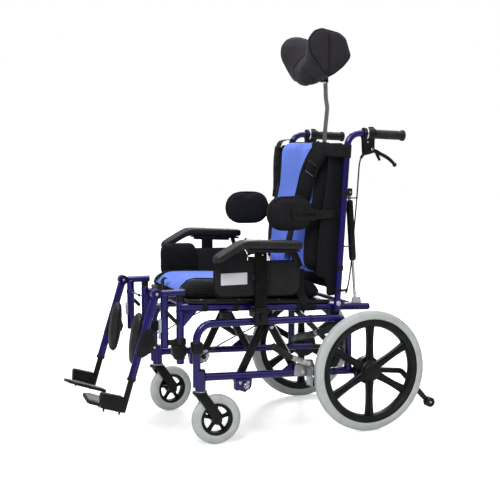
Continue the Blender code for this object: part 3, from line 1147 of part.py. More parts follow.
def build_all():
    """Every sub-part of the chair, then the chair centred over the origin."""
    for side, s in sides():
        base_frame(side, s)
        caster(side, s)
        rear_wheel(side, s)
        anti_tip_roller(side, s)
        wheel_lock(side, s)
        tilt_strut(side, s)
        side_guard(side, s)
        armrest(side, s)
        lateral_support(side, s)
        handle(side, s)
        gas_spring(side, s)
        leg_rest(side, s)
    cross_brace()
    seat_frame()
    seat_board()
    seat_cushion()
    back_frame()
    back_board()
    back_cushion()
    harness_strap("left", STRAP_LEFT, 0.0034)
    harness_strap("right", STRAP_RIGHT, 0.0015)
    headrest()
    bpy.context.view_layer.update()
    reach = [(obj.matrix_world @ vertex.co).y for obj in chair.objects if obj.type == "MESH"
             for vertex in obj.data.vertices]
    origin.location.y = -(min(reach) + max(reach)) / 2


build_all()
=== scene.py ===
"""Positioning wheelchair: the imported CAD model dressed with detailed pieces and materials."""
import math

import bmesh
import bpy
from mathutils import Matrix, Vector, noise
from mathutils.bvhtree import BVHTree


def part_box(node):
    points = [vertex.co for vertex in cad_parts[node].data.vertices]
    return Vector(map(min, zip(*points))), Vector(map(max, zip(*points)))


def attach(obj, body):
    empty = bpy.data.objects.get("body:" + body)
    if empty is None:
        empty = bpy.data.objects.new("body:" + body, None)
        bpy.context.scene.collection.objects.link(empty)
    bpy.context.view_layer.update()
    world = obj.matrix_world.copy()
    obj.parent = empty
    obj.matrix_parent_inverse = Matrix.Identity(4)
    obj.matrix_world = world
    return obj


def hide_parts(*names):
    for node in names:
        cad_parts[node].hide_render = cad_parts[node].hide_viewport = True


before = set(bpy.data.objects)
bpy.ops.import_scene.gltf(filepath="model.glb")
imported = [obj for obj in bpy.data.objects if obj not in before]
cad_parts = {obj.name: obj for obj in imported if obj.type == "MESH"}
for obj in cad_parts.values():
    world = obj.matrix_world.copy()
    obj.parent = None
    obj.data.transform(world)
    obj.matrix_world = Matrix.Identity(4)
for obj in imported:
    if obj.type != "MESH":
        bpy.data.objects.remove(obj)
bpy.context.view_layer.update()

# Pieces are modelled with Y = 0 at the rear axle, then moved by SHIFT to the CAD model's centre.
axle_low, axle_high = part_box("rear_wheel_left")
SHIFT = (axle_low.y + axle_high.y) / 2
SIDES = (("left", 1), ("right", -1))

# Places that several pieces share, in metres.
CASTER_Y = -0.585       # swivel axis of the casters
AXLE_Z = 0.203          # height of the rear axle
TRACK_X = 0.230         # side frames and casters, from the middle
RAIL_X = 0.200          # seat rails
LEG_X = 0.195           # front posts and leg rests
LEG_Y = -0.640          # front posts
POST_X = 0.224          # back posts
ARM_X, ARM_Y = 0.2525, -0.387           # armrest posts
SEAT_FALL, POST_LEAN = 0.0496, 0.064    # slopes of the seat rails and the back posts
FRAME_TUBE = 0.0125     # radius of the larger frame tubes
SEAT_GAP = 0.0003       # between a cushion and what it lies on


# ---------------------------------------------------------------- materials

class Nodes:
    """Short ways to add nodes to a node tree."""

    def __init__(self, tree):
        self.tree = tree

    def node(self, kind, **settings):
        made = self.tree.nodes.new(kind)
        for key, value in settings.items():
            setattr(made, key, value)
        return made

    def link(self, source, target):
        self.tree.links.new(source, target)

    def math(self, operation, first, second):
        made = self.node("ShaderNodeMath", operation=operation)
        for socket, value in zip(made.inputs, (first, second)):
            self.link(value, socket)
        return made.outputs["Value"]

    def spread(self, source, low, high, start=0.3, end=0.7):
        """Turns the range from start to end into the range from low to high."""
        made = self.node("ShaderNodeMapRange")
        self.link(source, made.inputs["Value"])
        for name, value in (("From Min", start), ("From Max", end), ("To Min", low), ("To Max", high)):
            made.inputs[name].default_value = value
        return made.outputs["Result"]


class Shader(Nodes):
    """A Principled material whose colour, roughness and relief come from textures."""

    def __init__(self, name, colour, roughness, metallic=0.0):
        self.material = bpy.data.materials.new(name)
        self.material.use_nodes = True
        super().__init__(self.material.node_tree)
        self.bsdf = self.tree.nodes["Principled BSDF"]
        self.colour = colour
        self.set(Metallic=metallic, Base_Color=(*colour, 1), Roughness=roughness)
        self.coords = self.node("ShaderNodeTexCoord").outputs["Object"]
        self.relief = None

    def set(self, **values):
        for key, value in values.items():
            self.bsdf.inputs[key.replace("_", " ")].default_value = value
        return self

    def texture(self, kind, placing, values, **settings):
        """Texture on the object's own coordinates, stretched or turned by `placing`."""
        mapping = self.node("ShaderNodeMapping")
        self.link(self.coords, mapping.inputs["Vector"])
        made = self.node(kind, **settings)
        self.link(mapping.outputs["Vector"], made.inputs["Vector"])
        for node, wanted in ((mapping, placing), (made, values)):
            for name, value in wanted.items():
                node.inputs[name].default_value = value
        return made.outputs["Fac"]

    def noise(self, scale, detail=2.0, stretch=(1, 1, 1)):
        return self.texture("ShaderNodeTexNoise", {"Scale": stretch}, {"Scale": scale, "Detail": detail})

    def wave(self, scale, direction, turn):
        return self.texture("ShaderNodeTexWave", {"Rotation": turn},
                            {"Scale": scale, "Distortion": 0.6, "Detail": 1.0}, bands_direction=direction)

    def tint(self, source, other, start=0.35, end=0.65):
        """Colour that runs from the material's own to another along a texture."""
        mix = self.node("ShaderNodeMix", data_type="RGBA")
        self.link(self.spread(source, 0.0, 1.0, start, end), mix.inputs["Factor"])
        previous = self.bsdf.inputs["Base Color"]
        if previous.is_linked:
            self.link(previous.links[0].from_socket, mix.inputs[6])
        else:
            mix.inputs[6].default_value = (*self.colour, 1)
        mix.inputs[7].default_value = (*other, 1)
        self.link(mix.outputs[2], previous)
        return self

    def rough(self, source, low, high):
        self.link(self.spread(source, low, high), self.bsdf.inputs["Roughness"])
        return self

    def bump(self, source, distance, strength):
        """Relief along a texture, on top of any relief before it."""
        made = self.node("ShaderNodeBump")
        made.inputs["Strength"].default_value = strength
        made.inputs["Distance"].default_value = distance
        self.link(source, made.inputs["Height"])
        if self.relief is not None:
            self.link(self.relief, made.inputs["Normal"])
        self.relief = made.outputs["Normal"]
        self.link(self.relief, self.bsdf.inputs["Normal"])
        return self


def lacquer(name, colour, painted_shade):
    """Glossy metallic lacquer: flakes, orange peel, and noise patches of a darker shaded tone, which is painted shade.
    """
    made = Shader(name, colour, 0.3, metallic=0.15)
    made.set(Coat_Weight=0.60, Coat_Roughness=0.05, Specular_IOR_Level=0.15)
    # Painted shade: noise patches darken the lacquer towards its shaded tone.
    made.tint(made.noise(14, 3), painted_shade).rough(made.noise(60, 3), 0.26, 0.42)
    return made.bump(made.noise(900, 1), 0.00006, 0.35).bump(made.noise(160, 2), 0.0002, 0.10).material


def moulded(name, colour, worn, roughness=0.42, grain=1400, depth=0.00012, shine=0.5):
    """Moulded plastic or powder coat with a fine grain and paler rubbed places."""
    made = Shader(name, colour, roughness).set(Specular_IOR_Level=shine)
    made.tint(made.noise(22, 4), worn, 0.52, 0.80)
    made.rough(made.noise(35, 3), roughness - 0.08, roughness + 0.12)
    return made.bump(made.noise(grain, 2), depth, 0.6).material


def cloth(name, colour, other, pitch=0.0016, sheen=0.35, depth=0.00035, turn=0.0):
    """Woven or knitted cloth: two crossing thread directions, fluff and uneven dye."""
    scale = 1 / pitch / (2 * math.pi) * 2
    made = Shader(name, colour, 0.85).set(Sheen_Weight=sheen, Sheen_Roughness=0.45, Specular_IOR_Level=0.12)
    made.bsdf.inputs["Sheen Tint"].default_value = (*[min(1, c * 3 + 0.25) for c in colour], 1)
    warp = made.wave(scale, "X", (turn, turn, turn + 0.02))
    weft = made.wave(scale, "Z", (turn, turn, turn))
    across = made.wave(scale, "Y", (turn, turn, turn))
    weave = made.math("MULTIPLY", made.math("MAXIMUM", warp, across), weft)
    made.tint(weave, other, 0.05, 0.75).tint(made.noise(9, 3), [c * 1.35 for c in colour], 0.5, 0.95)
    made.rough(made.noise(50, 2), 0.78, 0.95)
    return made.bump(weave, depth, 0.8).bump(made.noise(35, 3), 0.0016, 0.18).material


def metal(name, colour, roughness):
    """Plated or brushed metal with fine scratches and dull patches."""
    scratch = (1, 1, 30)
    made = Shader(name, colour, roughness, metallic=1.0)
    made.tint(made.noise(40, 3), [c * 0.72 for c in colour])
    made.rough(made.noise(120, 3, scratch), roughness - 0.07, roughness + 0.14)
    return made.bump(made.noise(700, 2, scratch), 0.00005, 0.5).material


def rubber(name, colour, dust, roughness, shine=0.4):
    """Rubber with a fine grain and dusty places."""
    made = Shader(name, colour, roughness).set(Specular_IOR_Level=shine)
    made.tint(made.noise(30, 4), dust, 0.45, 0.85).rough(made.noise(80, 3), roughness - 0.1, roughness + 0.2)
    return made.bump(made.noise(500, 3), 0.00025, 0.5).material


# The second colour is the lacquer's shaded tone, mixed in by noise as painted shade.
VIOLET = lacquer("violet_lacquer", (0.009, 0.003, 0.135), (0.004, 0.0015, 0.068))
BLACK = moulded("black_plastic", (0.0045, 0.0045, 0.0052), (0.014, 0.014, 0.016), 0.40, shine=0.22)
COAT = moulded("black_powder_coat", (0.0040, 0.0040, 0.0048), (0.013, 0.013, 0.016), 0.36, 900, 0.0002, 0.25)
SKIN = moulded("armrest_skin", (0.0060, 0.0060, 0.0066), (0.014, 0.014, 0.016), 0.46, 700, 0.0003, 0.35)
TYRE = rubber("grey_tyre", (0.50, 0.53, 0.52), (0.40, 0.42, 0.40), 0.62)
GRIP = rubber("grip_rubber", (0.007, 0.007, 0.008), (0.024, 0.024, 0.026), 0.52, 0.3)
STEEL = metal("zinc_steel", (0.62, 0.62, 0.64), 0.30)
CHROME = metal("bright_steel", (0.76, 0.77, 0.79), 0.18)
DULL = metal("dull_steel", (0.36, 0.36, 0.38), 0.34)
POST = moulded("post_powder_coat", (0.0024, 0.0024, 0.0028), (0.008, 0.008, 0.009), 0.42, 900, 0.0002, 0.12)
GREY = moulded("grey_plate", (0.42, 0.44, 0.47), (0.55, 0.56, 0.58), 0.45)
PALE = moulded("pale_plate", (0.62, 0.63, 0.65), (0.52, 0.53, 0.55), 0.35)
CLOTH = cloth("black_spacer_cloth", (0.0042, 0.0042, 0.0052), (0.012, 0.012, 0.015), sheen=0.10)
STRETCH = cloth("black_stretch_cloth", (0.0085, 0.0078, 0.0098), (0.017, 0.0155, 0.020), 0.0011, 0.16, 0.0002)
GUARD = cloth("guard_cloth", (0.0130, 0.0130, 0.0145), (0.0220, 0.0220, 0.0245), sheen=0.12)
HEAD = cloth("headrest_cloth", (0.0190, 0.0172, 0.0215), (0.0330, 0.0300, 0.0370), 0.0011, 0.22, 0.0002)
WEB = cloth("black_webbing", (0.0060, 0.0060, 0.0070), (0.020, 0.020, 0.023), 0.0024, 0.10, 0.0005)
BLUE = cloth("blue_mesh_cloth", (0.150, 0.245, 0.86), (0.075, 0.125, 0.60), 0.0030, 0.25, 0.0006, 0.6)
PIPING = cloth("black_piping", (0.0040, 0.0040, 0.0048), (0.011, 0.011, 0.013), 0.0012, 0.08, 0.0002)
TREAD = rubber("grey_tread", (0.16, 0.165, 0.17), (0.28, 0.285, 0.29), 0.7)
CABLE = moulded("cable_sheath", (0.0045, 0.0045, 0.0050), (0.016, 0.016, 0.017), 0.35, 2000, 0.00005, 0.25)


# ---------------------------------------------------------------- geometry helpers

MERGE = 1e-6            # points closer than this become one


def flattened(shapes):
    """One list from single shapes and lists of shapes."""
    flat = []
    for shape in shapes:
        flat += shape if isinstance(shape, list) else [shape]
    return flat


def placed(name, data):
    """New object in the scene."""
    made = bpy.data.objects.new(name, data)
    bpy.context.scene.collection.objects.link(made)
    return made


def face_outward(mesh, merge=False):
    """Makes all faces look outward, once points at one place are joined if asked."""
    bm = bmesh.new()
    bm.from_mesh(mesh)
    if merge:
        bmesh.ops.remove_doubles(bm, verts=bm.verts, dist=MERGE)
    bmesh.ops.recalc_face_normals(bm, faces=bm.faces)
    bm.to_mesh(mesh)
    bm.free()


def mesh_object(vertices, faces, material):
    """Smooth shaded shape from points and faces."""
    mesh = bpy.data.meshes.new("shape")
    mesh.from_pydata([tuple(v) for v in vertices], [], faces)
    mesh.materials.append(material)
    mesh.polygons.foreach_set("use_smooth", [True] * len(mesh.polygons))
    face_outward(mesh)
    return placed("shape", mesh)


def from_bmesh(bm, material):
    """Flat shaded shape from a bmesh, which it frees."""
    bmesh.ops.recalc_face_normals(bm, faces=bm.faces)
    mesh = bpy.data.meshes.new("shape")
    bm.to_mesh(mesh)
    bm.free()
    mesh.materials.append(material)
    mesh.polygons.foreach_set("use_smooth", [False] * len(mesh.polygons))
    return placed("shape", mesh)


def ring_faces(rings, count):
    """Faces between neighbouring rings of `count` points each."""
    return [(i * count + k, i * count + (k + 1) % count, (i + 1) * count + (k + 1) % count, (i + 1) * count + k)
            for i in range(rings - 1) for k in range(count)]


def fillet(points, radius, steps=6, closed=False):
    """Points with each corner turned into an arc."""
    points = [Vector(p) for p in points]
    count = len(points)
    made = []
    for i, corner in enumerate(points):
        if not closed and i in (0, count - 1):
            made.append(corner)
            continue
        before, after = points[i - 1] - corner, points[(i + 1) % count] - corner
        bend = before.angle(after, math.pi)
        if bend > math.pi - 0.01 or radius <= 0:
            made.append(corner)
            continue
        reach = min(radius / math.tan(bend / 2), before.length * 0.499, after.length * 0.499)
        turn_radius = reach * math.tan(bend / 2)
        first, last = corner + before.normalized() * reach, corner + after.normalized() * reach
        middle = corner + (before.normalized() + after.normalized()).normalized() * (
            turn_radius / math.sin(bend / 2))
        for k in range(steps + 1):
            arm = (first - middle).normalized().lerp((last - middle).normalized(), k / steps)
            made.append(middle + arm.normalized() * turn_radius)
    return made


def smooth_path(points, steps=6):
    """Catmull-Rom curve through the points."""
    points = [Vector(p) for p in points]
    ends = [points[0] * 2 - points[1], *points, points[-1] * 2 - points[-2]]
    made = []
    for i in range(1, len(ends) - 2):
        a, b, c, d = ends[i - 1:i + 3]
        for k in range(steps):
            t = k / steps
            made.append(((b * 2) + (c - a) * t + (a * 2 - b * 5 + c * 4 - d) * t * t
                         + (b * 3 - a - c * 3 + d) * t ** 3) * 0.5)
    return made + [points[-1]]


def sweep(path, ring, material, up=None, scale=None, caps=True):
    """A 2D outline carried along a path; `up` fixes the outline's second direction."""
    path = [Vector(p) for p in path]
    vertices, side = [], None
    for i, point in enumerate(path):
        way = (path[min(i + 1, len(path) - 1)] - path[max(i - 1, 0)]).normalized()
        if up is not None:
            rise = up(point) if callable(up) else Vector(up)
            side = way.cross(rise).normalized()
        elif side is None:
            side = way.orthogonal().normalized()
        side = (side - way * side.dot(way)).normalized()
        rise = side.cross(way).normalized()
        grow = scale[i] if scale else 1.0
        vertices += [point + side * (a * grow) + rise * (b * grow) for a, b in ring]
    count = len(ring)
    faces = ring_faces(len(path), count)
    if caps:
        faces += [tuple(range(count)), tuple(range((len(path) - 1) * count, len(path) * count))]
    return mesh_object(vertices, faces, material)


def disc_ring(radius, sides):
    return [(radius * math.cos(2 * math.pi * k / sides), radius * math.sin(2 * math.pi * k / sides))
            for k in range(sides)]


def tube(points, radius, material, bend=0.0, sides=20, steps=8, rim=0.0012):
    """Round tube with its end edges eased."""
    path = fillet(points, bend, steps) if bend else [Vector(p) for p in points]
    first, last = (path[0] - path[1]).normalized(), (path[-1] - path[-2]).normalized()
    path = [path[0], path[0] - first * rim, *path[1:-1], path[-1] - last * rim, path[-1]]
    scale = [1 - rim / radius] + [1.0] * (len(path) - 2) + [1 - rim / radius]
    return sweep(path, disc_ring(radius, sides), material, scale=scale)


AXES = {"X": Matrix(((0, 0, 1), (1, 0, 0), (0, 1, 0))), "Y": Matrix(((0, 1, 0), (0, 0, 1), (1, 0, 0))),
        "Z": Matrix.Identity(3)}


def turned(profile, centre, axis, material, steps=48, closed=False):
    """Profile of (radius, height) turned about an axis through the centre."""
    frame_matrix = AXES[axis] if isinstance(axis, str) else Vector(axis).to_track_quat("Z", "Y").to_matrix()
    vertices, faces = [], []
    for k in range(steps):
        turn = 2 * math.pi * k / steps
        for r, h in profile:
            vertices.append(Vector(centre) + frame_matrix @ Vector((r * math.cos(turn), r * math.sin(turn), h)))
    count = len(profile)
    last = count if closed else count - 1
    for k in range(steps):
        following = (k + 1) % steps
        for i in range(last):
            j = (i + 1) % count
            faces.append((k * count + i, k * count + j, following * count + j, following * count + i))
    made = mesh_object(vertices, faces, material)
    face_outward(made.data, merge=True)
    return made


def cylinder(radius, start, end, material, edge=0.0008, steps=28, end_radius=None):
    """Solid round piece with eased edges."""
    start, end = Vector(start), Vector(end)
    length = (end - start).length
    top = radius if end_radius is None else end_radius
    edge = min(edge, radius * 0.4, length * 0.4)
    profile = [(0, 0), (radius - edge, 0), (radius, edge), (top, length - edge), (top - edge, length), (0, length)]
    return turned(profile, start, end - start, material, steps)


def plate(outline, low, high, material, plane="YZ", corner=0.0, holes=(), edge=0.0008, steps=5):
    """Flat outline with eased edges, between two coordinates on the third axis."""
    curve = bpy.data.curves.new("outline", "CURVE")
    curve.dimensions, curve.fill_mode = "2D", "BOTH"
    low, high = min(low, high), max(low, high)
    edge = min(edge, (high - low) * 0.3)
    curve.extrude, curve.bevel_depth, curve.bevel_resolution = (high - low) / 2 - edge, edge, 1
    curve.offset = -edge
    loops = [[Vector((a, b, 0)) for a, b in loop] for loop in (outline, *holes)]
    if corner:
        loops[0] = fillet(loops[0], corner, steps, True)
    for loop in loops:
        spline = curve.splines.new("POLY")
        spline.points.add(len(loop) - 1)
        for point, where in zip(spline.points, loop):
            point.co = (*where, 1)
        spline.use_cyclic_u = True
    made = placed("outline", curve)
    mesh = bpy.data.meshes.new_from_object(made.evaluated_get(bpy.context.evaluated_depsgraph_get()))
    bpy.data.objects.remove(made)
    middle, rest = (low + high) / 2, (0, 0, 0, 1)
    mesh.transform(Matrix({"YZ": ((0, 0, 1, middle), (1, 0, 0, 0), (0, 1, 0, 0), rest),
                           "XZ": ((1, 0, 0, 0), (0, 0, 1, middle), (0, 1, 0, 0), rest),
                           "XY": ((1, 0, 0, 0), (0, 1, 0, 0), (0, 0, 1, middle), rest)}[plane]))
    bm = bmesh.new()
    bm.from_mesh(mesh)
    bmesh.ops.remove_doubles(bm, verts=bm.verts, dist=MERGE)
    return from_bmesh(bm, material)


def block(low, high, material, edge=0.0015):
    """Box with rounded edges between two opposite corners."""
    low, high = [min(a, b) for a, b in zip(low, high)], [max(a, b) for a, b in zip(low, high)]
    bm = bmesh.new()
    bmesh.ops.create_cube(bm, size=1)
    size = [b - a for a, b in zip(low, high)]
    bmesh.ops.scale(bm, vec=size, verts=bm.verts)
    edge = min(edge, min(size) * 0.35)
    bmesh.ops.bevel(bm, geom=list(bm.edges), offset=edge, segments=3, affect="EDGES", profile=0.5)
    bmesh.ops.translate(bm, vec=[(a + b) / 2 for a, b in zip(low, high)], verts=bm.verts)
    return from_bmesh(bm, material)


def bar(start, end, width, depth, material, edge=0.001):
    """Flat bar between two points: its width lies in the YZ plane, its depth along X."""
    start, end = Vector(start), Vector(end)
    way = (end - start).normalized()
    across = Vector((0, -way.z, way.y)) * (width / 2)
    outline = [start - across, start + across, end + across, end - across]
    return plate([(p.y, p.z) for p in outline], start.x - depth / 2, start.x + depth / 2, material,
                 corner=edge * 1.5, edge=edge, steps=2)


def bolt(where, axis, radius, material=STEEL, head="hex", washer=True):
    """Bolt head with a washer, seen from outside; the axis points away from what it holds."""
    where, axis = Vector(where), Vector(axis).normalized()
    pieces = []
    if washer:
        pieces.append(cylinder(radius * 1.55, where - axis * 0.0005, where + axis * 0.0012, material, 0.0003, 24))
    if head == "hex":
        pieces.append(cylinder(radius * 1.1, where, where + axis * radius * 0.9, material, 0.0006, 6))
    else:
        profile = [(0, 0), (radius, 0), (radius, radius * 0.35), (radius * 0.86, radius * 0.62),
                   (radius * 0.5, radius * 0.78), (radius * 0.36, radius * 0.80),
                   (radius * 0.34, radius * 0.35), (0, radius * 0.35)]
        pieces.append(turned(profile, where, axis, material, 24))
    return pieces


def piece(name, shapes, body, replaces=(), angle=38):
    """Joins shapes into one piece, moves it to the CAD frame and makes it ride on its body."""
    flat = flattened(shapes)
    for chosen in bpy.context.selected_objects:
        chosen.select_set(False)
    for shape in flat:
        shape.select_set(True)
    bpy.context.view_layer.objects.active = flat[0]
    if len(flat) > 1:
        bpy.ops.object.join()
    made = bpy.context.view_layer.objects.active
    made.name = made.data.name = name
    made.data.transform(Matrix.Translation((0, SHIFT, 0)))
    made.data.set_sharp_from_angle(angle=math.radians(angle))
    made.data.polygons.foreach_set("use_smooth", [True] * len(made.data.polygons))
    made.data.update()
    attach(made, body)
    if replaces:
        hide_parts(*replaces)
    return made


# ---------------------------------------------------------------- base

def lower_rail_z(y):
    return 0.2195 - 0.0215 * (y - CASTER_Y) / -CASTER_Y


def top_rail_z(y):
    return 0.391 - 0.010 * (y + 0.597) / 0.537


def rail_z(y):
    return 0.4425 - SEAT_FALL * (y - LEG_Y)


def post_y(z):
    return -0.100 + POST_LEAN * (z - 0.403)


def weld(centre, radius, axis, material):
    """Weld bead round a joint between two tubes."""
    width = 0.0028
    profile = [(radius - 0.001, -width), (radius + width * 0.45, -width * 0.5), (radius + width * 0.6, 0),
               (radius + width * 0.4, width * 0.6), (radius - 0.001, width)]
    return turned(profile, centre, axis, material, 28)


def cable_tie(centre, axis, radius):
    profile = [(radius, -0.0022), (radius + 0.0014, -0.0022), (radius + 0.0014, 0.0022), (radius, 0.0022)]
    return turned(profile, centre, axis, BLACK, 24, closed=True)


def base_side(side, s):
    x = s * TRACK_X
    fork_y, foot = CASTER_Y, (-0.440, 0.190)
    shapes = [
        tube([(x, -0.597, 0.188), (x, -0.597, 0.391), (x, -0.060, 0.381), (x, -0.060, 0.200)], FRAME_TUBE,
             VIOLET, bend=0.052, sides=28, steps=10),
        tube([(x, fork_y, lower_rail_z(fork_y)), (x, 0.024, lower_rail_z(0.024))], FRAME_TUBE, VIOLET, sides=28),
        cylinder(0.017, (x, fork_y, 0.176), (x, fork_y, 0.240), VIOLET, 0.0012, 36),
        turned([(0.0125, 0.2401), (0.0160, 0.2401), (0.0155, 0.2432), (0.0100, 0.2440), (0, 0.2440)],
               (x, fork_y, 0), "Z", BLACK, 32),
        tube([(x, 0.010, lower_rail_z(0.010)), (x, 0.146, 0.183), (x, 0.235, 0.086)], 0.0095, COAT, bend=0.03),
        cable_tie((x, -0.200, top_rail_z(-0.200)), "Y", 0.0126),
        cable_tie((x, -0.115, lower_rail_z(-0.115)), "Y", 0.0126),
        weld((x, fork_y + 0.0175, lower_rail_z(fork_y + 0.0175)), FRAME_TUBE, "Y", VIOLET),
        weld((x, -0.060, lower_rail_z(-0.06) + 0.0135), FRAME_TUBE, "Z", VIOLET),
        bar((x, 0.227, 0.093), (x, 0.265, 0.059), 0.017, 0.006, COAT),
        cylinder(0.0075, (x, 0, AXLE_Z), (s * 0.284, 0, AXLE_Z), STEEL),
        cylinder(0.046, (s * 0.239, 0, AXLE_Z), (s * 0.2465, 0, AXLE_Z), COAT, 0.001, 40),
        plate([(-0.318, lower_rail_z(-0.318)), (-0.268, 0.243), (-0.200, 0.204)], x - 0.003, x + 0.003, VIOLET,
              edge=0.0008),
        plate([(-0.266, 0.200), (-0.262, 0.236), (-0.232, 0.254), (-0.199, 0.252), (-0.188, 0.222),
               (-0.200, 0.198)], s * 0.2395, s * 0.2465, DULL, corner=0.008),
        plate([(-0.068, 0.335), (-0.068, 0.376), (-0.125, 0.376)], x - 0.003, x + 0.003, VIOLET),
        cylinder(0.013, (x, -0.100, 0.380), (s * 0.2125, -0.100, 0.380), VIOLET, 0.001),
        block((x - 0.0175, -0.6145, 0.297), (x + 0.0175, -0.5795, 0.334), BLACK, 0.006),
        block((x - 0.0185, -0.6000, 0.3095), (x + 0.0185, -0.5940, 0.3215), BLACK, 0.002),
        block((s * 0.190, -0.505, top_rail_z(-0.492) - 0.004), (s * 0.236, -0.479, 0.4210), BLACK, 0.003),
        block((s * 0.212, foot[0] - 0.027, foot[1] - 0.024), (s * 0.239, foot[0] + 0.025, lower_rail_z(foot[0])),
              VIOLET, 0.006),
        plate([(foot[0] - 0.029, 0.205), (foot[0] - 0.024, foot[1] - 0.018), (foot[0] + 0.004, foot[1] - 0.030),
               (foot[0] + 0.026, foot[1] - 0.014), (foot[0] + 0.029, 0.205)], s * 0.2395, s * 0.2415, VIOLET,
              corner=0.006),
        cylinder(0.005, (s * 0.171, *foot), (x, *foot), STEEL),
        bolt((s * 0.2415, foot[0] - 0.012, foot[1] + 0.002), (s, 0, 0), 0.0035),
        bolt((s * 0.2415, foot[0] + 0.014, foot[1] + 0.002), (s, 0, 0), 0.0035),
        cylinder(0.010, (x, foot[0] + 0.004, foot[1] - 0.007), (s * 0.257, foot[0] + 0.004, foot[1] - 0.007),
                 DULL, 0.002, 32),
        bolt((s * 0.257, foot[0] + 0.004, foot[1] - 0.007), (s, 0, 0), 0.0045, STEEL, "dome", False),
        bolt((s * 0.2472, -0.232, 0.212), (s, 0, 0), 0.0045),
        bolt((s * 0.2472, -0.205, 0.222), (s, 0, 0), 0.0045),
        bolt((x, fork_y - 0.0165, 0.198), (0, -1, 0), 0.0030, STEEL, "dome", False),
        bolt((s * 0.2475, -0.597, 0.3155), (s, 0, 0), 0.0038, BLACK, "dome"),
        plate([(-0.588, 0.268), (-0.560, 0.262), (-0.546, 0.284), (-0.556, 0.304), (-0.580, 0.300)], s * 0.2130,
              s * 0.2162, GREY, corner=0.005),
        cylinder(0.004, (s * 0.2162, -0.586, 0.290), (x, -0.590, 0.290), STEEL),
        bolt((s * 0.2130, -0.570, 0.283), (-s, 0, 0), 0.0042, BLACK),
        cylinder(0.0075, (s * 0.2162, -0.570, 0.283), (s * 0.2250, -0.570, 0.283), BLACK, 0.0015),
        sweep(smooth_path([(s * 0.2210, -0.570, 0.288), (s * 0.2205, -0.548, 0.300), (s * 0.2195, -0.515, 0.318),
                           (s * 0.2190, -0.470, 0.338), (s * 0.2190, -0.420, 0.358), (s * 0.2190, -0.385, 0.3745)], 5),
              disc_ring(0.0022, 12), CABLE),
        band((s * 0.2190, -0.386, 0.3740), (0, 0.9, 0.43), 0.0022, 0.0060, 0.005, BLACK, 16),
    ]
    brace_x = s * 0.206
    shapes += [bar((brace_x, -0.336, 0.371), (brace_x, -0.246, 0.212), 0.022, 0.014, COAT, 0.002),
               cylinder(0.007, (brace_x, -0.331, 0.366), (x, -0.331, 0.386), COAT),
               cylinder(0.007, (brace_x, -0.250, 0.220), (x, -0.250, 0.2072), COAT),
               tube([(brace_x + s * 0.004, -0.322, 0.374), (brace_x + s * 0.004, -0.236, 0.222)], 0.0022, CHROME,
                    sides=12),
               bolt((brace_x + s * 0.007, -0.331, 0.362), (s, 0, 0), 0.0045),
               bolt((brace_x + s * 0.007, -0.250, 0.219), (s, 0, 0), 0.0045)]
    piece("base_side_" + side, shapes, "base", ["base_frame_" + side])


def cross_bars():
    end_x, high, low, y = 0.2172, 0.350, 0.232, -0.060
    shapes = []
    for s, offset in ((1, -0.0041), (-1, 0.0041)):
        shapes.append(plate([(-s * end_x, low - 0.012), (-s * end_x, low + 0.012), (s * end_x, high + 0.012),
                             (s * end_x, high - 0.012)], y + offset - 0.0038, y + offset + 0.0038, COAT,
                            plane="XZ", edge=0.0012))
    middle = (high + low) / 2
    shapes += [bolt((0, y + 0.0082, middle), (0, 1, 0), 0.007), bolt((0, y - 0.0082, middle), (0, -1, 0), 0.007)]
    piece("cross_bars", shapes, "base", ["cross_brace"])


def turn_about(shapes, centre, degrees):
    """Turns shapes about a vertical line."""
    spin = Matrix.Translation(centre) @ Matrix.Rotation(math.radians(degrees), 4, "Z") @ Matrix.Translation(
        -Vector(centre))
    flat = flattened(shapes)
    for shape in flat:
        shape.data.transform(spin)
    return flat


def spoke(centre, turn, start, end, wide, narrow, depth, material):
    """Moulded spoke with a raised rib on either face; waisted in the middle."""
    way, steps = Vector((0, math.cos(turn), math.sin(turn))), 8
    ring = [(-0.5, -depth * 0.28), (-0.5, depth * 0.28), (-0.40, depth * 0.42), (-0.30, depth * 0.30),
            (-0.13, depth * 0.30), (-0.08, depth * 0.5), (0.08, depth * 0.5), (0.13, depth * 0.30),
            (0.30, depth * 0.30), (0.40, depth * 0.42), (0.5, depth * 0.28), (0.5, -depth * 0.28),
            (0.40, -depth * 0.42), (0.08, -depth * 0.5), (-0.08, -depth * 0.5), (-0.40, -depth * 0.42)]
    across = Vector((0, -way.z, way.y))
    vertices, count = [], len(ring)
    for k in range(steps + 1):
        point = Vector(centre) + way * (start + (end - start) * k / steps)
        wide_here = wide + (narrow - wide) * math.sin(math.pi * k / steps) ** 0.7
        vertices += [point + across * (a * wide_here) + Vector((b, 0, 0)) for a, b in ring]
    faces = ring_faces(steps + 1, count)
    faces += [tuple(range(count)), tuple(range(steps * count, (steps + 1) * count))]
    return mesh_object(vertices, faces, material)


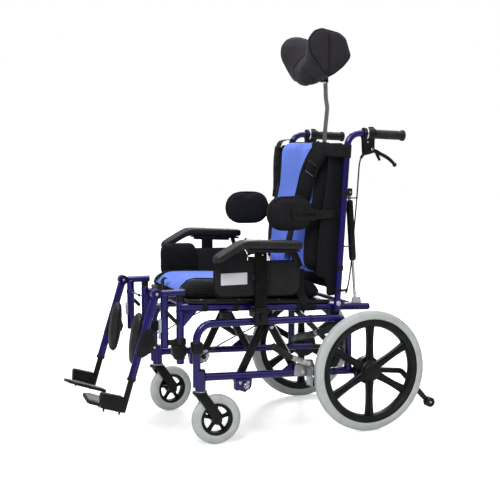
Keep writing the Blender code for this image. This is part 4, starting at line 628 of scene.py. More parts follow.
def casters(side, s):
    x, y, r = s * TRACK_X, CASTER_Y, 0.081
    hub_y, blade_in = y + 0.052, 0.0205
    yaw, stem = {"left": -4, "right": 9}[side], (x, y, 0)
    fork = [block((x - blade_in - 0.004, y - 0.021, 0.160), (x + blade_in + 0.004, y + 0.019, 0.172), BLACK, 0.004),
            cylinder(0.014, (x, y, 0.168), (x, y, 0.1757), STEEL),
            turned([(0.0145, 0.1725), (0.0162, 0.1725), (0.0162, 0.1752), (0.0145, 0.1752)], (x, y, 0), "Z", CHROME,
                   32, closed=True),
            block((x - 0.006, y + 0.0185, 0.1625), (x + 0.006, y + 0.0215, 0.1760), STEEL, 0.001),
            cylinder(0.006, (x, y, 0.166), (x, y, 0.225), STEEL)]
    outline = [(y - 0.020, 0.169), (y + 0.017, 0.169), (hub_y + 0.013, r + 0.020), (hub_y + 0.014, r - 0.004),
               (hub_y + 0.006, r - 0.015), (hub_y - 0.008, r - 0.014), (hub_y - 0.016, r + 0.002)]
    rib = [(y - 0.013, 0.160), (y + 0.008, 0.160), (hub_y + 0.003, r + 0.020), (hub_y - 0.008, r + 0.016)]
    for hand in (1, -1):
        fork.append(plate(outline, x + hand * blade_in, x + hand * (blade_in + 0.0040), BLACK, corner=0.008,
                          edge=0.001))
        fork.append(plate(rib, x + hand * (blade_in + 0.0035), x + hand * (blade_in + 0.0050), BLACK, corner=0.004))
        fork += bolt((x + hand * (blade_in + 0.0040), hub_y, r), (hand, 0, 0), 0.0048, BLACK)
    piece("caster_fork_piece_" + side, turn_about(fork, stem, yaw), "caster_fork_" + side,
          ["caster_fork_" + side])

    centre, rim = (x, hub_y, r), 0.0522
    wheel = [turned([(rim - 0.011, -0.004), (rim - 0.009, -0.0115), (rim - 0.004, -0.0128), (rim, -0.0125),
                     (rim, 0.0125), (rim - 0.004, 0.0128), (rim - 0.009, 0.0115), (rim - 0.011, 0.004)], centre, "X",
                    BLACK, 64, closed=True)]
    for hand in (1, -1):
        wheel.append(turned([(0.0050, hand * 0.0198), (0.0085, hand * 0.0200), (0.0095, hand * 0.0188),
                             (0.0150, hand * 0.0170), (0.0165, hand * 0.0060), (0.0165, 0)], centre, "X", BLACK, 40))
    for k in range(5):
        wheel.append(spoke(centre, math.pi / 2 + 2 * math.pi * k / 5, 0.012, rim - 0.007, 0.017, 0.0105, 0.014, BLACK))
    piece("caster_wheel_piece_" + side, turn_about(wheel, stem, yaw), "caster_wheel_" + side,
          ["caster_wheel_" + side])
    tyre_profile = [(0.0525, -0.0125), (0.0545, -0.0150), (0.0600, -0.0162), (0.0650, -0.0158), (0.0660, -0.0148),
                    (0.0672, -0.0155), (0.0740, -0.0140), (0.0785, -0.0095), (0.0806, -0.0040), (0.0810, 0)]
    tyre_profile += [(a, -b) for a, b in reversed(tyre_profile[:-1])]
    tyre = turned(tyre_profile, centre, "X", TYRE, 72, closed=True)
    piece("caster_tyre_piece_" + side, turn_about([tyre], stem, yaw), "caster_wheel_" + side,
          ["caster_tyre_" + side])


def rear_wheels(side, s):
    x, r, rim = s * 0.272, AXLE_Z, 0.1748
    centre = (x, 0, r)
    shapes = [turned([(rim - 0.026, -0.006), (rim - 0.022, -0.0135), (rim - 0.010, -0.0150), (rim, -0.0145),
                      (rim, 0.0145), (rim - 0.010, 0.0150), (rim - 0.022, 0.0135), (rim - 0.026, 0.006)], centre, "X",
                     BLACK, 120, closed=True),
              turned([(rim - 0.0165, s * 0.0146), (rim - 0.0155, s * 0.0156), (rim - 0.0140, s * 0.0156),
                      (rim - 0.0130, s * 0.0148)], centre, "X", BLACK, 120),
              cylinder(0.046, (s * 0.2472, 0, r), (s * 0.265, 0, r), COAT, 0.002, 56),
              turned([(0, 0.0302), (0.018, 0.0302), (0.0235, 0.0285), (0.0245, 0.0262), (0.0275, 0.0255),
                      (0.0300, 0.0225), (0.0310, 0.0120), (0.0360, 0.0080), (0.0360, 0.0)],
                     centre, (s, 0, 0), BLACK, 56)]
    for k in range(6):
        shapes.append(spoke(centre, math.pi / 2 + 2 * math.pi * k / 6, 0.020, rim - 0.016, 0.034, 0.0225, 0.020,
                            BLACK))
    for k in range(5):
        turn = 2 * math.pi * k / 5
        shapes.append(cylinder(0.0016, (s * 0.3010, 0.0135 * math.cos(turn), r + 0.0135 * math.sin(turn)),
                               (s * 0.3018, 0.0135 * math.cos(turn), r + 0.0135 * math.sin(turn)), COAT, 0.0003, 12))
    shapes.append(cylinder(0.0050, (s * 0.299, 0, r), (s * 0.3024, 0, r), COAT, 0.001, 24))
    piece("rear_wheel_piece_" + side, shapes, "rear_wheel_" + side, ["rear_wheel_" + side])
    profile = [(0.1750, -0.0150), (0.1770, -0.0172), (0.1820, -0.0180), (0.1880, -0.0178), (0.1895, -0.0166),
               (0.1910, -0.0172), (0.1965, -0.0152), (0.2005, -0.0115), (0.2020, -0.0085), (0.2014, -0.0078),
               (0.2024, -0.0070), (0.2030, -0.0030), (0.2024, -0.0012), (0.2024, 0.0)]
    profile += [(a, -b) for a, b in reversed(profile[:-1])]
    piece("rear_tyre_piece_" + side, [turned(profile, centre, "X", TYRE, 128, closed=True)], "rear_wheel_" + side,
          ["rear_tyre_" + side])


def anti_tip(side, s):
    x, y, z = s * TRACK_X, 0.259, 0.064
    shapes = [cylinder(0.004, (x - 0.0125, y, z), (x + 0.0125, y, z), STEEL)]
    for hand in (1, -1):
        shapes.append(turned([(0.0035, 0.0036), (0.0150, 0.0036), (0.0170, 0.0052), (0.0172, 0.0085), (0.0165, 0.0118),
                              (0.0145, 0.0132), (0.0080, 0.0128), (0.0070, 0.0120), (0.0035, 0.0120)],
                             (x, y, z), (hand, 0, 0), BLACK, 44, closed=True))
    piece("anti_tip_roller_piece_" + side, shapes, "anti_tip_roller_" + side,
          ["anti_tip_roller_" + side])


def wheel_lock(side, s):
    inner, pivot, shoe_y = 0.2468, (-0.214, 0.238), -0.2165
    x = s * (inner + 0.0025)
    shapes = [bar((x, pivot[0] + 0.006, pivot[1] - 0.002), (x, -0.292, 0.271), 0.019, 0.0046, DULL, 0.0012),
              bar((x + s * 0.0046, pivot[0] - 0.012, pivot[1] + 0.004), (x + s * 0.0046, -0.262, 0.255), 0.013,
                  0.0036, STEEL),
              plate([(-0.226, 0.246), (-0.204, 0.244), (-0.208, 0.205), (-0.215, 0.166), (-0.221, 0.166),
                     (-0.222, 0.205)], s * inner, s * (inner + 0.005), DULL, corner=0.003),
              block((s * (inner + 0.002), shoe_y - 0.004, 0.168), (s * 0.288, shoe_y, 0.232), DULL, 0.0012),
              block((s * (inner + 0.006), shoe_y - 0.0042, 0.172), (s * 0.284, shoe_y - 0.0052, 0.228), STEEL),
              bolt((s * (inner + 0.0050), *pivot), (s, 0, 0), 0.006),
              bolt((s * (inner + 0.0094), -0.232, 0.247), (s, 0, 0), 0.0045),
              bolt((s * (inner + 0.0050), -0.266, 0.2595), (s, 0, 0), 0.0045, STEEL, "dome")]
    root, tip = Vector((x, -0.2765, 0.2613)), Vector((x, -0.346, 0.308))
    way = tip - root
    path = [root + way * (k / 44) for k in range(45)]
    scale = [0.90 + (0.10 if k % 4 in (1, 2) else 0.0) for k in range(45)]
    scale[0], scale[1], scale[-2], scale[-1] = 0.7, 0.92, 0.92, 0.62
    shapes.append(sweep(path, disc_ring(0.0115, 24), GRIP, scale=scale))
    piece("wheel_lock_piece_" + side, shapes, "wheel_lock_lever_" + side,
          ["wheel_lock_lever_" + side])


def struts(side, s):
    x = s * 0.182
    foot, head = Vector((x, -0.440, 0.190)), Vector((x, -0.335, 0.392))
    way = (head - foot).normalized()
    sleeve = [bar(foot - way * 0.010, foot + way * 0.205, 0.024, 0.016, COAT, 0.0025),
              bar(foot + way * 0.03, foot + way * 0.19, 0.008, 0.0166, BLACK, 0.001),
              bolt(foot + Vector((s * 0.0078, 0, 0)), (s, 0, 0), 0.005),
              cylinder(0.0078, foot + way * 0.2035, foot + way * 0.2085, BLACK, 0.001)]
    piece("tilt_sleeve_" + side, sleeve, "tilt_strut_" + side, ["tilt_strut_" + side])
    rod = [cylinder(0.0055, foot + way * 0.060, head, CHROME), cylinder(0.008, head - Vector((0.0079, 0, 0)),
                                                                        head + Vector((0.0079, 0, 0)), STEEL)]
    piece("tilt_rod_piece_" + side, rod, "tilt_rod_" + side, ["tilt_rod_" + side])


# ---------------------------------------------------------------- seat

def band(centre, axis, inner, outer, half, material, steps=28):
    """Collar or strap round a tube."""
    ease = (outer - inner) * 0.35
    profile = [(inner, -half), (outer - ease, -half), (outer, -half + ease), (outer, half - ease),
               (outer - ease, half), (inner, half)]
    return turned(profile, centre, axis, material, steps, closed=True)


def ribbed_knob(start, end, radius, material, lobes=8, depth=0.12):
    """Hand knob with lobes round its rim."""
    start, end = Vector(start), Vector(end)
    way = end - start
    length = way.length
    ring = [(radius * (1 - depth * (0.5 - 0.5 * math.cos(lobes * t))) * math.cos(t),
             radius * (1 - depth * (0.5 - 0.5 * math.cos(lobes * t))) * math.sin(t))
            for t in (2 * math.pi * k / (lobes * 6) for k in range(lobes * 6))]
    path = [start, start + way * 0.12, start + way * 0.5, start + way * 0.86, end - way * (0.0005 / length), end]
    return sweep(path, ring, material, scale=[0.86, 1, 1, 0.97, 0.86, 0.7])


def seat_rails():
    shapes = []
    along = Vector((0, 1, -SEAT_FALL)).normalized()
    front = rail_z(LEG_Y)
    for _, s in SIDES:
        x, leg_x = s * RAIL_X, s * LEG_X
        shapes += [
            tube([(x, -0.644, rail_z(-0.644)), (x, 0.030, rail_z(0.030))], FRAME_TUBE, VIOLET, sides=28),
            turned([(0, 0.0298), (0.0105, 0.0298), (0.0112, 0.0310), (0.0100, 0.0332), (0, 0.0336)],
                   (x, 0, rail_z(0.030)), "Y", BLACK, 28),
            tube([(leg_x, LEG_Y, 0.263), (leg_x, LEG_Y, 0.462)], FRAME_TUBE, VIOLET, sides=28),
            turned([(0, 0.2640), (0.0120, 0.2640), (0.0124, 0.2626), (0.0110, 0.2606), (0, 0.2602)],
                   (leg_x, LEG_Y, 0), "Z", BLACK, 28),
            weld((leg_x, LEG_Y, front - FRAME_TUBE), FRAME_TUBE, "Z", VIOLET),
            plate([(-0.636, front - 0.006), (-0.578, front - 0.010), (-0.636, front - 0.072)], leg_x - 0.003,
                  leg_x + 0.003, VIOLET),
            block((leg_x - 0.016, -0.668, 0.286), (leg_x + 0.016, -0.623, 0.3215), BLACK, 0.005),
            block((leg_x - 0.0145, -0.660, 0.276), (leg_x + 0.0145, -0.628, 0.290), BLACK, 0.003),
            ribbed_knob((leg_x + s * 0.0155, -0.646, 0.304), (leg_x + s * 0.0215, -0.646, 0.304), 0.008, BLACK, 6),
            plate([(-0.122, rail_z(-0.1)), (-0.082, rail_z(-0.1)), (-0.086, 0.364), (-0.114, 0.364)],
                  s * 0.204, s * 0.2122, COAT, corner=0.006),
            cylinder(0.013, (x, -0.085, 0.430), (s * 0.2127, -0.085, 0.430), VIOLET),
            plate([(-0.033, rail_z(-0.013)), (0.007, rail_z(-0.013)), (0.000, 0.444), (-0.026, 0.444)],
                  s * 0.193, s * 0.203, GREY, corner=0.004),
            cylinder(0.004, (s * 0.1805, -0.013, 0.434), (x, -0.013, 0.434), STEEL),
            bolt((s * 0.1805, -0.013, 0.434), (-s, 0, 0), 0.0045, STEEL, "hex", False),
            block((s * 0.169, -0.353, rail_z(-0.335) - 0.010), (s * 0.196, -0.317, rail_z(-0.335) + 0.004), COAT,
                  0.002)]
        for a, b in ((0.1903, 0.1943), (0.1697, 0.1737)):
            shapes.append(plate([(-0.353, rail_z(-0.335)), (-0.317, rail_z(-0.335)), (-0.324, 0.384),
                                 (-0.346, 0.384)], s * a, s * b, COAT, corner=0.003))
        shapes += bolt((s * 0.1697, -0.335, 0.392), (-s, 0, 0), 0.0042, STEEL, "hex", False)
        for y in (-0.561, -0.455, -0.2306, -0.179):
            shapes.append(band((x, y, rail_z(y)), along, 0.0126, 0.0142, 0.010, WEB))
        shapes += armrest_socket(s)
    for y in (-0.600, -0.300, -0.008):
        shapes.append(tube([(-RAIL_X, y, rail_z(y)), (RAIL_X, y, rail_z(y))], 0.010, VIOLET, sides=24))
        for s in (1, -1):
            shapes.append(weld((s * 0.1880, y, rail_z(y)), 0.010, "X", VIOLET))
    piece("seat_frame_rails", shapes, "seat", ["seat_frame"])


def armrest_socket(s):
    """Clamp that carries the armrest post, with its knob and grey plate."""
    x, y = ARM_X, ARM_Y
    shapes = []
    for a, b in ((0.0065, 0.0095), (-0.0095, -0.0065)):
        shapes.append(block((s * (x + a), y - 0.0235, 0.3795), (s * (x + b), y + 0.0235, 0.4350), BLACK, 0.002))
    for a, b in ((-0.0235, -0.0205), (0.0205, 0.0235)):
        shapes.append(block((s * (x - 0.0095), y + a, 0.3795), (s * (x + 0.0095), y + b, 0.4350), BLACK, 0.002))
    shapes += [block((s * 0.206, y - 0.0225, 0.4022), (s * 0.2440, y + 0.0225, rail_z(y) + 0.006), BLACK, 0.0025),
               block((s * 0.2435, y - 0.024, 0.414), (s * 0.2640, y + 0.024, 0.424), BLACK, 0.0025),
               ribbed_knob((s * 0.2610, y + 0.004, 0.404), (s * 0.2745, y + 0.004, 0.404), 0.012, BLACK),
               block((s * 0.2428, y - 0.0235, 0.3795), (s * 0.2440, y + 0.0235, 0.3880), GREY, 0.0004)]
    return shapes


def seat_deck():
    front, rear = -0.612, -0.120
    bottom_front, bottom_rear = rail_z(front) + 0.0128, rail_z(rear) + 0.0128
    shapes = [plate([(front, bottom_front), (rear, bottom_rear), (rear, bottom_rear + 0.012),
                     (front, bottom_front + 0.012)], -0.2125, 0.2125, COAT, edge=0.0018)]
    for s in (1, -1):
        for y in (-0.57, -0.44, -0.30, -0.16):
            shapes.append(cylinder(0.005, (s * RAIL_X, y, rail_z(y) + 0.0246),
                                   (s * RAIL_X, y, rail_z(y) + 0.0252), STEEL, 0.0002, 20))
    piece("seat_deck", shapes, "seat", ["seat_board"])


# ---------------------------------------------------------------- back

HANDLE_BEND_Z = 0.996
HANDLE_SLOPE = 0.007 / (0.100 - post_y(HANDLE_BEND_Z))


def handle_z(y):
    return HANDLE_BEND_Z - HANDLE_SLOPE * (y - post_y(HANDLE_BEND_Z))


def back_posts():
    shapes = []
    rise = Vector((0, POST_LEAN, 1)).normalized()
    for _, s in SIDES:
        x = s * POST_X
        shapes += [tube([(x, -0.100, 0.403), (x, post_y(HANDLE_BEND_Z), HANDLE_BEND_Z), (x, 0.100, handle_z(0.100))],
                        0.011, VIOLET, bend=0.045, sides=28, steps=12),
                   turned([(0, -0.001), (0.0104, -0.001), (0.0108, 0.001), (0.0108, 0.004), (0, 0.004)],
                          (x, -0.100, 0.4035), rise, BLACK, 24),
                   cylinder(0.013, (s * 0.213, -0.085, 0.430), (x, -0.085, 0.430), VIOLET),
                   bolt((s * 0.2345, -0.0982, 0.430), (s, 0, 0), 0.0055, STEEL),
                   band((x, post_y(0.797), 0.797), rise, 0.0110, 0.0132, 0.0075, BLACK),
                   band((x, post_y(0.548), 0.548), rise, 0.0110, 0.0130, 0.0085, BLACK),
                   block((s * 0.1755, -0.066, 0.784), (s * 0.218, -0.0535, 0.812), COAT, 0.002)]
        for low, high in ((0.1790, 0.1830), (0.1930, 0.1970)):
            shapes.append(plate([(-0.059, 0.786), (-0.030, 0.786), (-0.030, 0.811), (-0.059, 0.811)], s * low,
                                s * high, COAT, corner=0.006))
        shapes += bolt((s * 0.1790, -0.039, 0.798), (-s, 0, 0), 0.0042, STEEL, "hex", False)
        shapes += bolt((s * 0.1970, -0.039, 0.798), (s, 0, 0), 0.0038, STEEL, "dome", False)
    for z in (0.520, 0.935):
        shapes.append(tube([(-POST_X, post_y(z), z), (POST_X, post_y(z), z)], 0.0077, VIOLET, sides=24))
        for s in (1, -1):
            shapes.append(weld((s * 0.2135, post_y(z), z), 0.0077, "X", VIOLET))
    piece("back_posts", shapes, "back", ["back_frame"])


def back_shell():
    low, high = 0.478, 0.962
    shapes = [plate([(post_y(low) - 0.0180, low), (post_y(low) - 0.0081, low), (post_y(high) - 0.0081, high),
                     (post_y(high) - 0.0180, high)], -0.205, 0.205, COAT, edge=0.002)]
    outward = Vector((0, 1, -POST_LEAN))
    for s in (1, -1):
        for z in (0.520, 0.935):
            shapes += bolt((s * 0.150, post_y(z) - 0.0080, z + 0.016), outward, 0.004, STEEL, "dome")
    piece("back_shell", shapes, "back", ["back_board"])


def push_handle(side, s):
    x = s * POST_X
    origin, way = Vector((x, 0, handle_z(0))), Vector((0, 1, -HANDLE_SLOPE)).normalized()
    rubber_profile = [(0.0117, 0.0345), (0.0150, 0.0350), (0.0160, 0.0370), (0.0160, 0.0405), (0.0148, 0.0425)]
    for k in range(22):
        h = 0.0445 + k * 0.0042
        rubber_profile += [(0.0148, h), (0.0155, h + 0.0010), (0.0155, h + 0.0022), (0.0148, h + 0.0032)]
    rubber_profile += [(0.0150, 0.1375), (0.0182, 0.1390), (0.0186, 0.1420), (0.0180, 0.1465), (0.0150, 0.1480),
                       (0, 0.1480), (0, 0.1010), (0.0117, 0.1010)]
    shapes = [turned(rubber_profile, origin, way, GRIP, 40, closed=True),
              turned([(0.0117, -0.0072), (0.0185, -0.0072), (0.0203, -0.0052), (0.0206, 0.0060), (0.0206, 0.0240),
                      (0.0198, 0.0345), (0.0175, 0.0372), (0.0117, 0.0372)], origin, way, BLACK, 40, closed=True),
              band(origin + way * 0.004, way, 0.0204, 0.0211, 0.0022, CHROME, 40),
              plate([(-0.010, 0.990), (0.034, 0.990), (0.033, 0.931), (0.020, 0.926), (-0.006, 0.920)], x - 0.0095,
                    x + 0.0095, BLACK, corner=0.006, edge=0.002),
              block((x - 0.006, 0.014, 1.006), (x + 0.006, 0.032, 1.016), BLACK, 0.003),
              plate([(0.036, 0.926), (0.050, 0.902), (0.058, 0.904), (0.046, 0.932)], x + s * 0.0042, x + s * 0.0085,
                    BLACK, corner=0.003, edge=0.001),
              cylinder(0.0050, (x, -0.002, 0.928), (x, -0.014, 0.912), BLACK, 0.001),
              cylinder(0.0040, (x, -0.0095, 0.918), (x, -0.0138, 0.9123), CHROME, 0.0005),
              cylinder(0.0046, (x + s * 0.0092, 0.024, 0.941), (x + s * 0.0108, 0.024, 0.941), STEEL, 0.0006),
              bolt((x + s * 0.0092, 0.006, 0.965), (s, 0, 0), 0.0032, STEEL, "dome", False)]
    piece("push_grip_" + side, shapes, "back", ["handle_grip_" + side])

    upper = [(0.014, 0.945), (0.033, 0.944), (0.048, 0.939), (0.062, 0.931), (0.078, 0.924), (0.092, 0.916),
             (0.104, 0.907), (0.114, 0.897)]
    lower = [(0.110, 0.887), (0.099, 0.897), (0.088, 0.905), (0.074, 0.913), (0.058, 0.920), (0.045, 0.926),
             (0.032, 0.930), (0.016, 0.932)]
    ball = [(0.0075 * math.sin(math.pi * k / 10), 0.0075 * math.cos(math.pi * k / 10)) for k in range(11)]
    lever = [plate(upper + lower, x - 0.004, x + 0.004, BLACK, corner=0.003, edge=0.0018),
             turned(ball, (x, 0.1145, 0.889), "X", BLACK, 24)]
    piece("brake_lever_piece_" + side, lever, "brake_lever_" + side, ["brake_lever_" + side])


def gas_springs(side, s):
    foot, head = Vector((s * 0.188, -0.013, 0.434)), Vector((s * 0.188, -0.039, 0.798))
    way, out = (head - foot).normalized(), Vector((0.0045, 0, 0))
    profile = [(0.0050, 0.1338), (0.0090, 0.1338), (0.0104, 0.1350), (0.0108, 0.1400), (0.0118, 0.1415),
               (0.0120, 0.1430), (0.0120, 0.3330), (0.0112, 0.3362), (0.0085, 0.3380), (0, 0.3380)]
    body = [turned(profile, foot, way, BLACK, 36), cylinder(0.0050, foot + way * 0.335, head, STEEL),
            band(foot + way * 0.352, way, 0.0050, 0.0078, 0.004, STEEL, 6),
            cylinder(0.008, head - out, head + out, STEEL)]
    piece("gas_cylinder_" + side, body, "gas_spring_" + side, ["gas_spring_" + side])
    rod = [cylinder(0.0045, foot + way * 0.004, foot + way * 0.262, CHROME),
           turned([(0.0046, -0.0045), (0.0082, -0.0045), (0.009, -0.0036), (0.009, 0.0036), (0.0082, 0.0045),
                   (0.0046, 0.0045)], foot, "X", STEEL, 32, closed=True),
           band(foot + way * 0.0215, way, 0.0045, 0.0070, 0.004, STEEL, 6)]
    piece("gas_rod_piece_" + side, rod, "gas_rod_" + side, ["gas_rod_" + side])


# ---------------------------------------------------------------- headrest and side supports

def headrest_bar_y(z):
    return -0.039 + POST_LEAN * (z - 0.976)


def headrest_hardware():
    bracket_y = post_y(0.935) + 0.0080
    low, high = 0.915, 0.957
    shapes = [block((-0.045, bracket_y, low), (0.045, bracket_y + 0.005, high), GREY, 0.0018)]
    for a, b in ((-0.018, -0.0115), (0.0115, 0.018)):
        shapes.append(plate([(headrest_bar_y(low) - 0.012, low), (headrest_bar_y(low) + 0.008, low),
                             (headrest_bar_y(high) + 0.008, high), (headrest_bar_y(high) - 0.012, high)], a, b,
                            BLACK, edge=0.001))
    for a, b in ((0.0036, 0.0080), (-0.0120, -0.0036)):
        shapes.append(plate([(headrest_bar_y(low) + a, low), (headrest_bar_y(low) + b, low),
                             (headrest_bar_y(high) + b, high), (headrest_bar_y(high) + a, high)], -0.0175, 0.0175,
                            BLACK, edge=0.001))
    knob_y = headrest_bar_y(0.935)
    shapes.append(ribbed_knob((0, knob_y + 0.007, 0.935), (0, knob_y + 0.024, 0.935), 0.011, BLACK, 6, 0.2))
    for s in (1, -1):
        for z in (0.924, 0.949):
            shapes += bolt((s * 0.034, bracket_y + 0.005, z), (0, 1, 0), 0.0035, STEEL, "dome")
    piece("headrest_clamp", shapes, "back", ["headrest_bracket"])

    path = [(headrest_bar_y(0.875), 0.875), (headrest_bar_y(1.005), 1.005), (-0.029, 1.085), (-0.035, 1.120),
            (-0.037, 1.176)]
    middle = fillet([(0, y, z) for y, z in path], 0.05, 8)
    blade = sweep(middle, [(0.0104, -0.0030), (0.0110, -0.0024), (0.0110, 0.0024), (0.0104, 0.0030),
                           (-0.0104, 0.0030), (-0.0110, 0.0024), (-0.0110, -0.0024), (-0.0104, -0.0030)], DULL,
                  up=(0, 1, 0))
    shapes = [blade, cylinder(0.007, (-0.011, -0.037, 1.176), (0.011, -0.037, 1.176), STEEL)]
    piece("headrest_stem", shapes, "headrest_bar", ["headrest_bar"])


def lateral_arm(s):
    """Hard parts of a side support: slotted arm, clamp on the post and bolts."""
    out, z = 0.2127, 0.727
    y_front, y_rear = -0.258, post_y(z)
    slot = [(-0.244, z - 0.004), (-0.176, z - 0.004), (-0.176, z + 0.004), (-0.244, z + 0.004)]
    return [plate([(y_front, z - 0.014), (y_rear + 0.006, z - 0.014), (y_rear + 0.006, z + 0.014),
                   (y_front, z + 0.014)], s * (out - 0.0065), s * (out - 0.0005), COAT, corner=0.006,
                  holes=[slot], edge=0.001),
            plate([(-0.250, z - 0.020), (-0.168, z - 0.020), (-0.168, z + 0.021), (-0.250, z + 0.021)],
                  s * (out - 0.0078), s * (out - 0.0052), COAT, corner=0.008),
            block((s * (out - 0.0050), y_rear - 0.013, z - 0.021), (s * out, y_rear + 0.013, z + 0.021), COAT, 0.002),
            bolt((s * (out - 0.0008), -0.236, z), (s, 0, 0), 0.0032, BLACK, "hex", False),
            bolt((s * (out - 0.0008), -0.184, z), (s, 0, 0), 0.0032, BLACK, "hex", False)]


# ---------------------------------------------------------------- armrests

def arm_bottom_z(y):
    return 0.659 - 0.011 * (y + 0.458) / 0.206 - 0.029


def armrest_hardware(side, s):
    x, y = ARM_X, ARM_Y
    inner, outer = s * (x - 0.006), s * (x + 0.006)
    shapes = [block((inner, y - 0.020, 0.382), (outer, y + 0.020, arm_bottom_z(y) - 0.004), POST, 0.0022),
              plate([(-0.440, arm_bottom_z(-0.440) - 0.0003), (-0.264, arm_bottom_z(-0.264) - 0.0003),
                     (-0.264, arm_bottom_z(-0.264) - 0.006), (-0.440, arm_bottom_z(-0.440) - 0.006)], inner,
                    s * 0.288, COAT, edge=0.0012),
              plate([(-0.440, arm_bottom_z(-0.440) - 0.005), (-0.300, arm_bottom_z(-0.300) - 0.005),
                     (-0.304, arm_bottom_z(-0.300) - 0.013), (-0.434, arm_bottom_z(-0.434) - 0.013)], s * 0.250,
                    s * 0.262, BLACK, corner=0.003, edge=0.0012),
              bar((s * 0.266, -0.284, 0.616), (s * 0.266, -0.271, 0.577), 0.014, 0.012, BLACK, 0.003),
              tube([(s * 0.2735, -0.287, 0.612), (s * 0.2735, -0.276, 0.586), (s * 0.2735, -0.271, 0.577)], 0.0016,
                   BLACK, sides=10, rim=0.0004)]
    for hand in (1, -1):
        shapes.append(block((s * (x - 0.0055), y + hand * 0.0195, 0.524), (s * (x + 0.0045), y + hand * 0.030, 0.542),
                            BLACK, 0.002))
    shapes += bolt((outer, y + 0.004, 0.606), (s, 0, 0), 0.0030, STEEL, "dome", False)
    piece("armrest_post_piece_" + side, shapes, "armrest_" + side, ["armrest_post_" + side])


# ---------------------------------------------------------------- leg rests

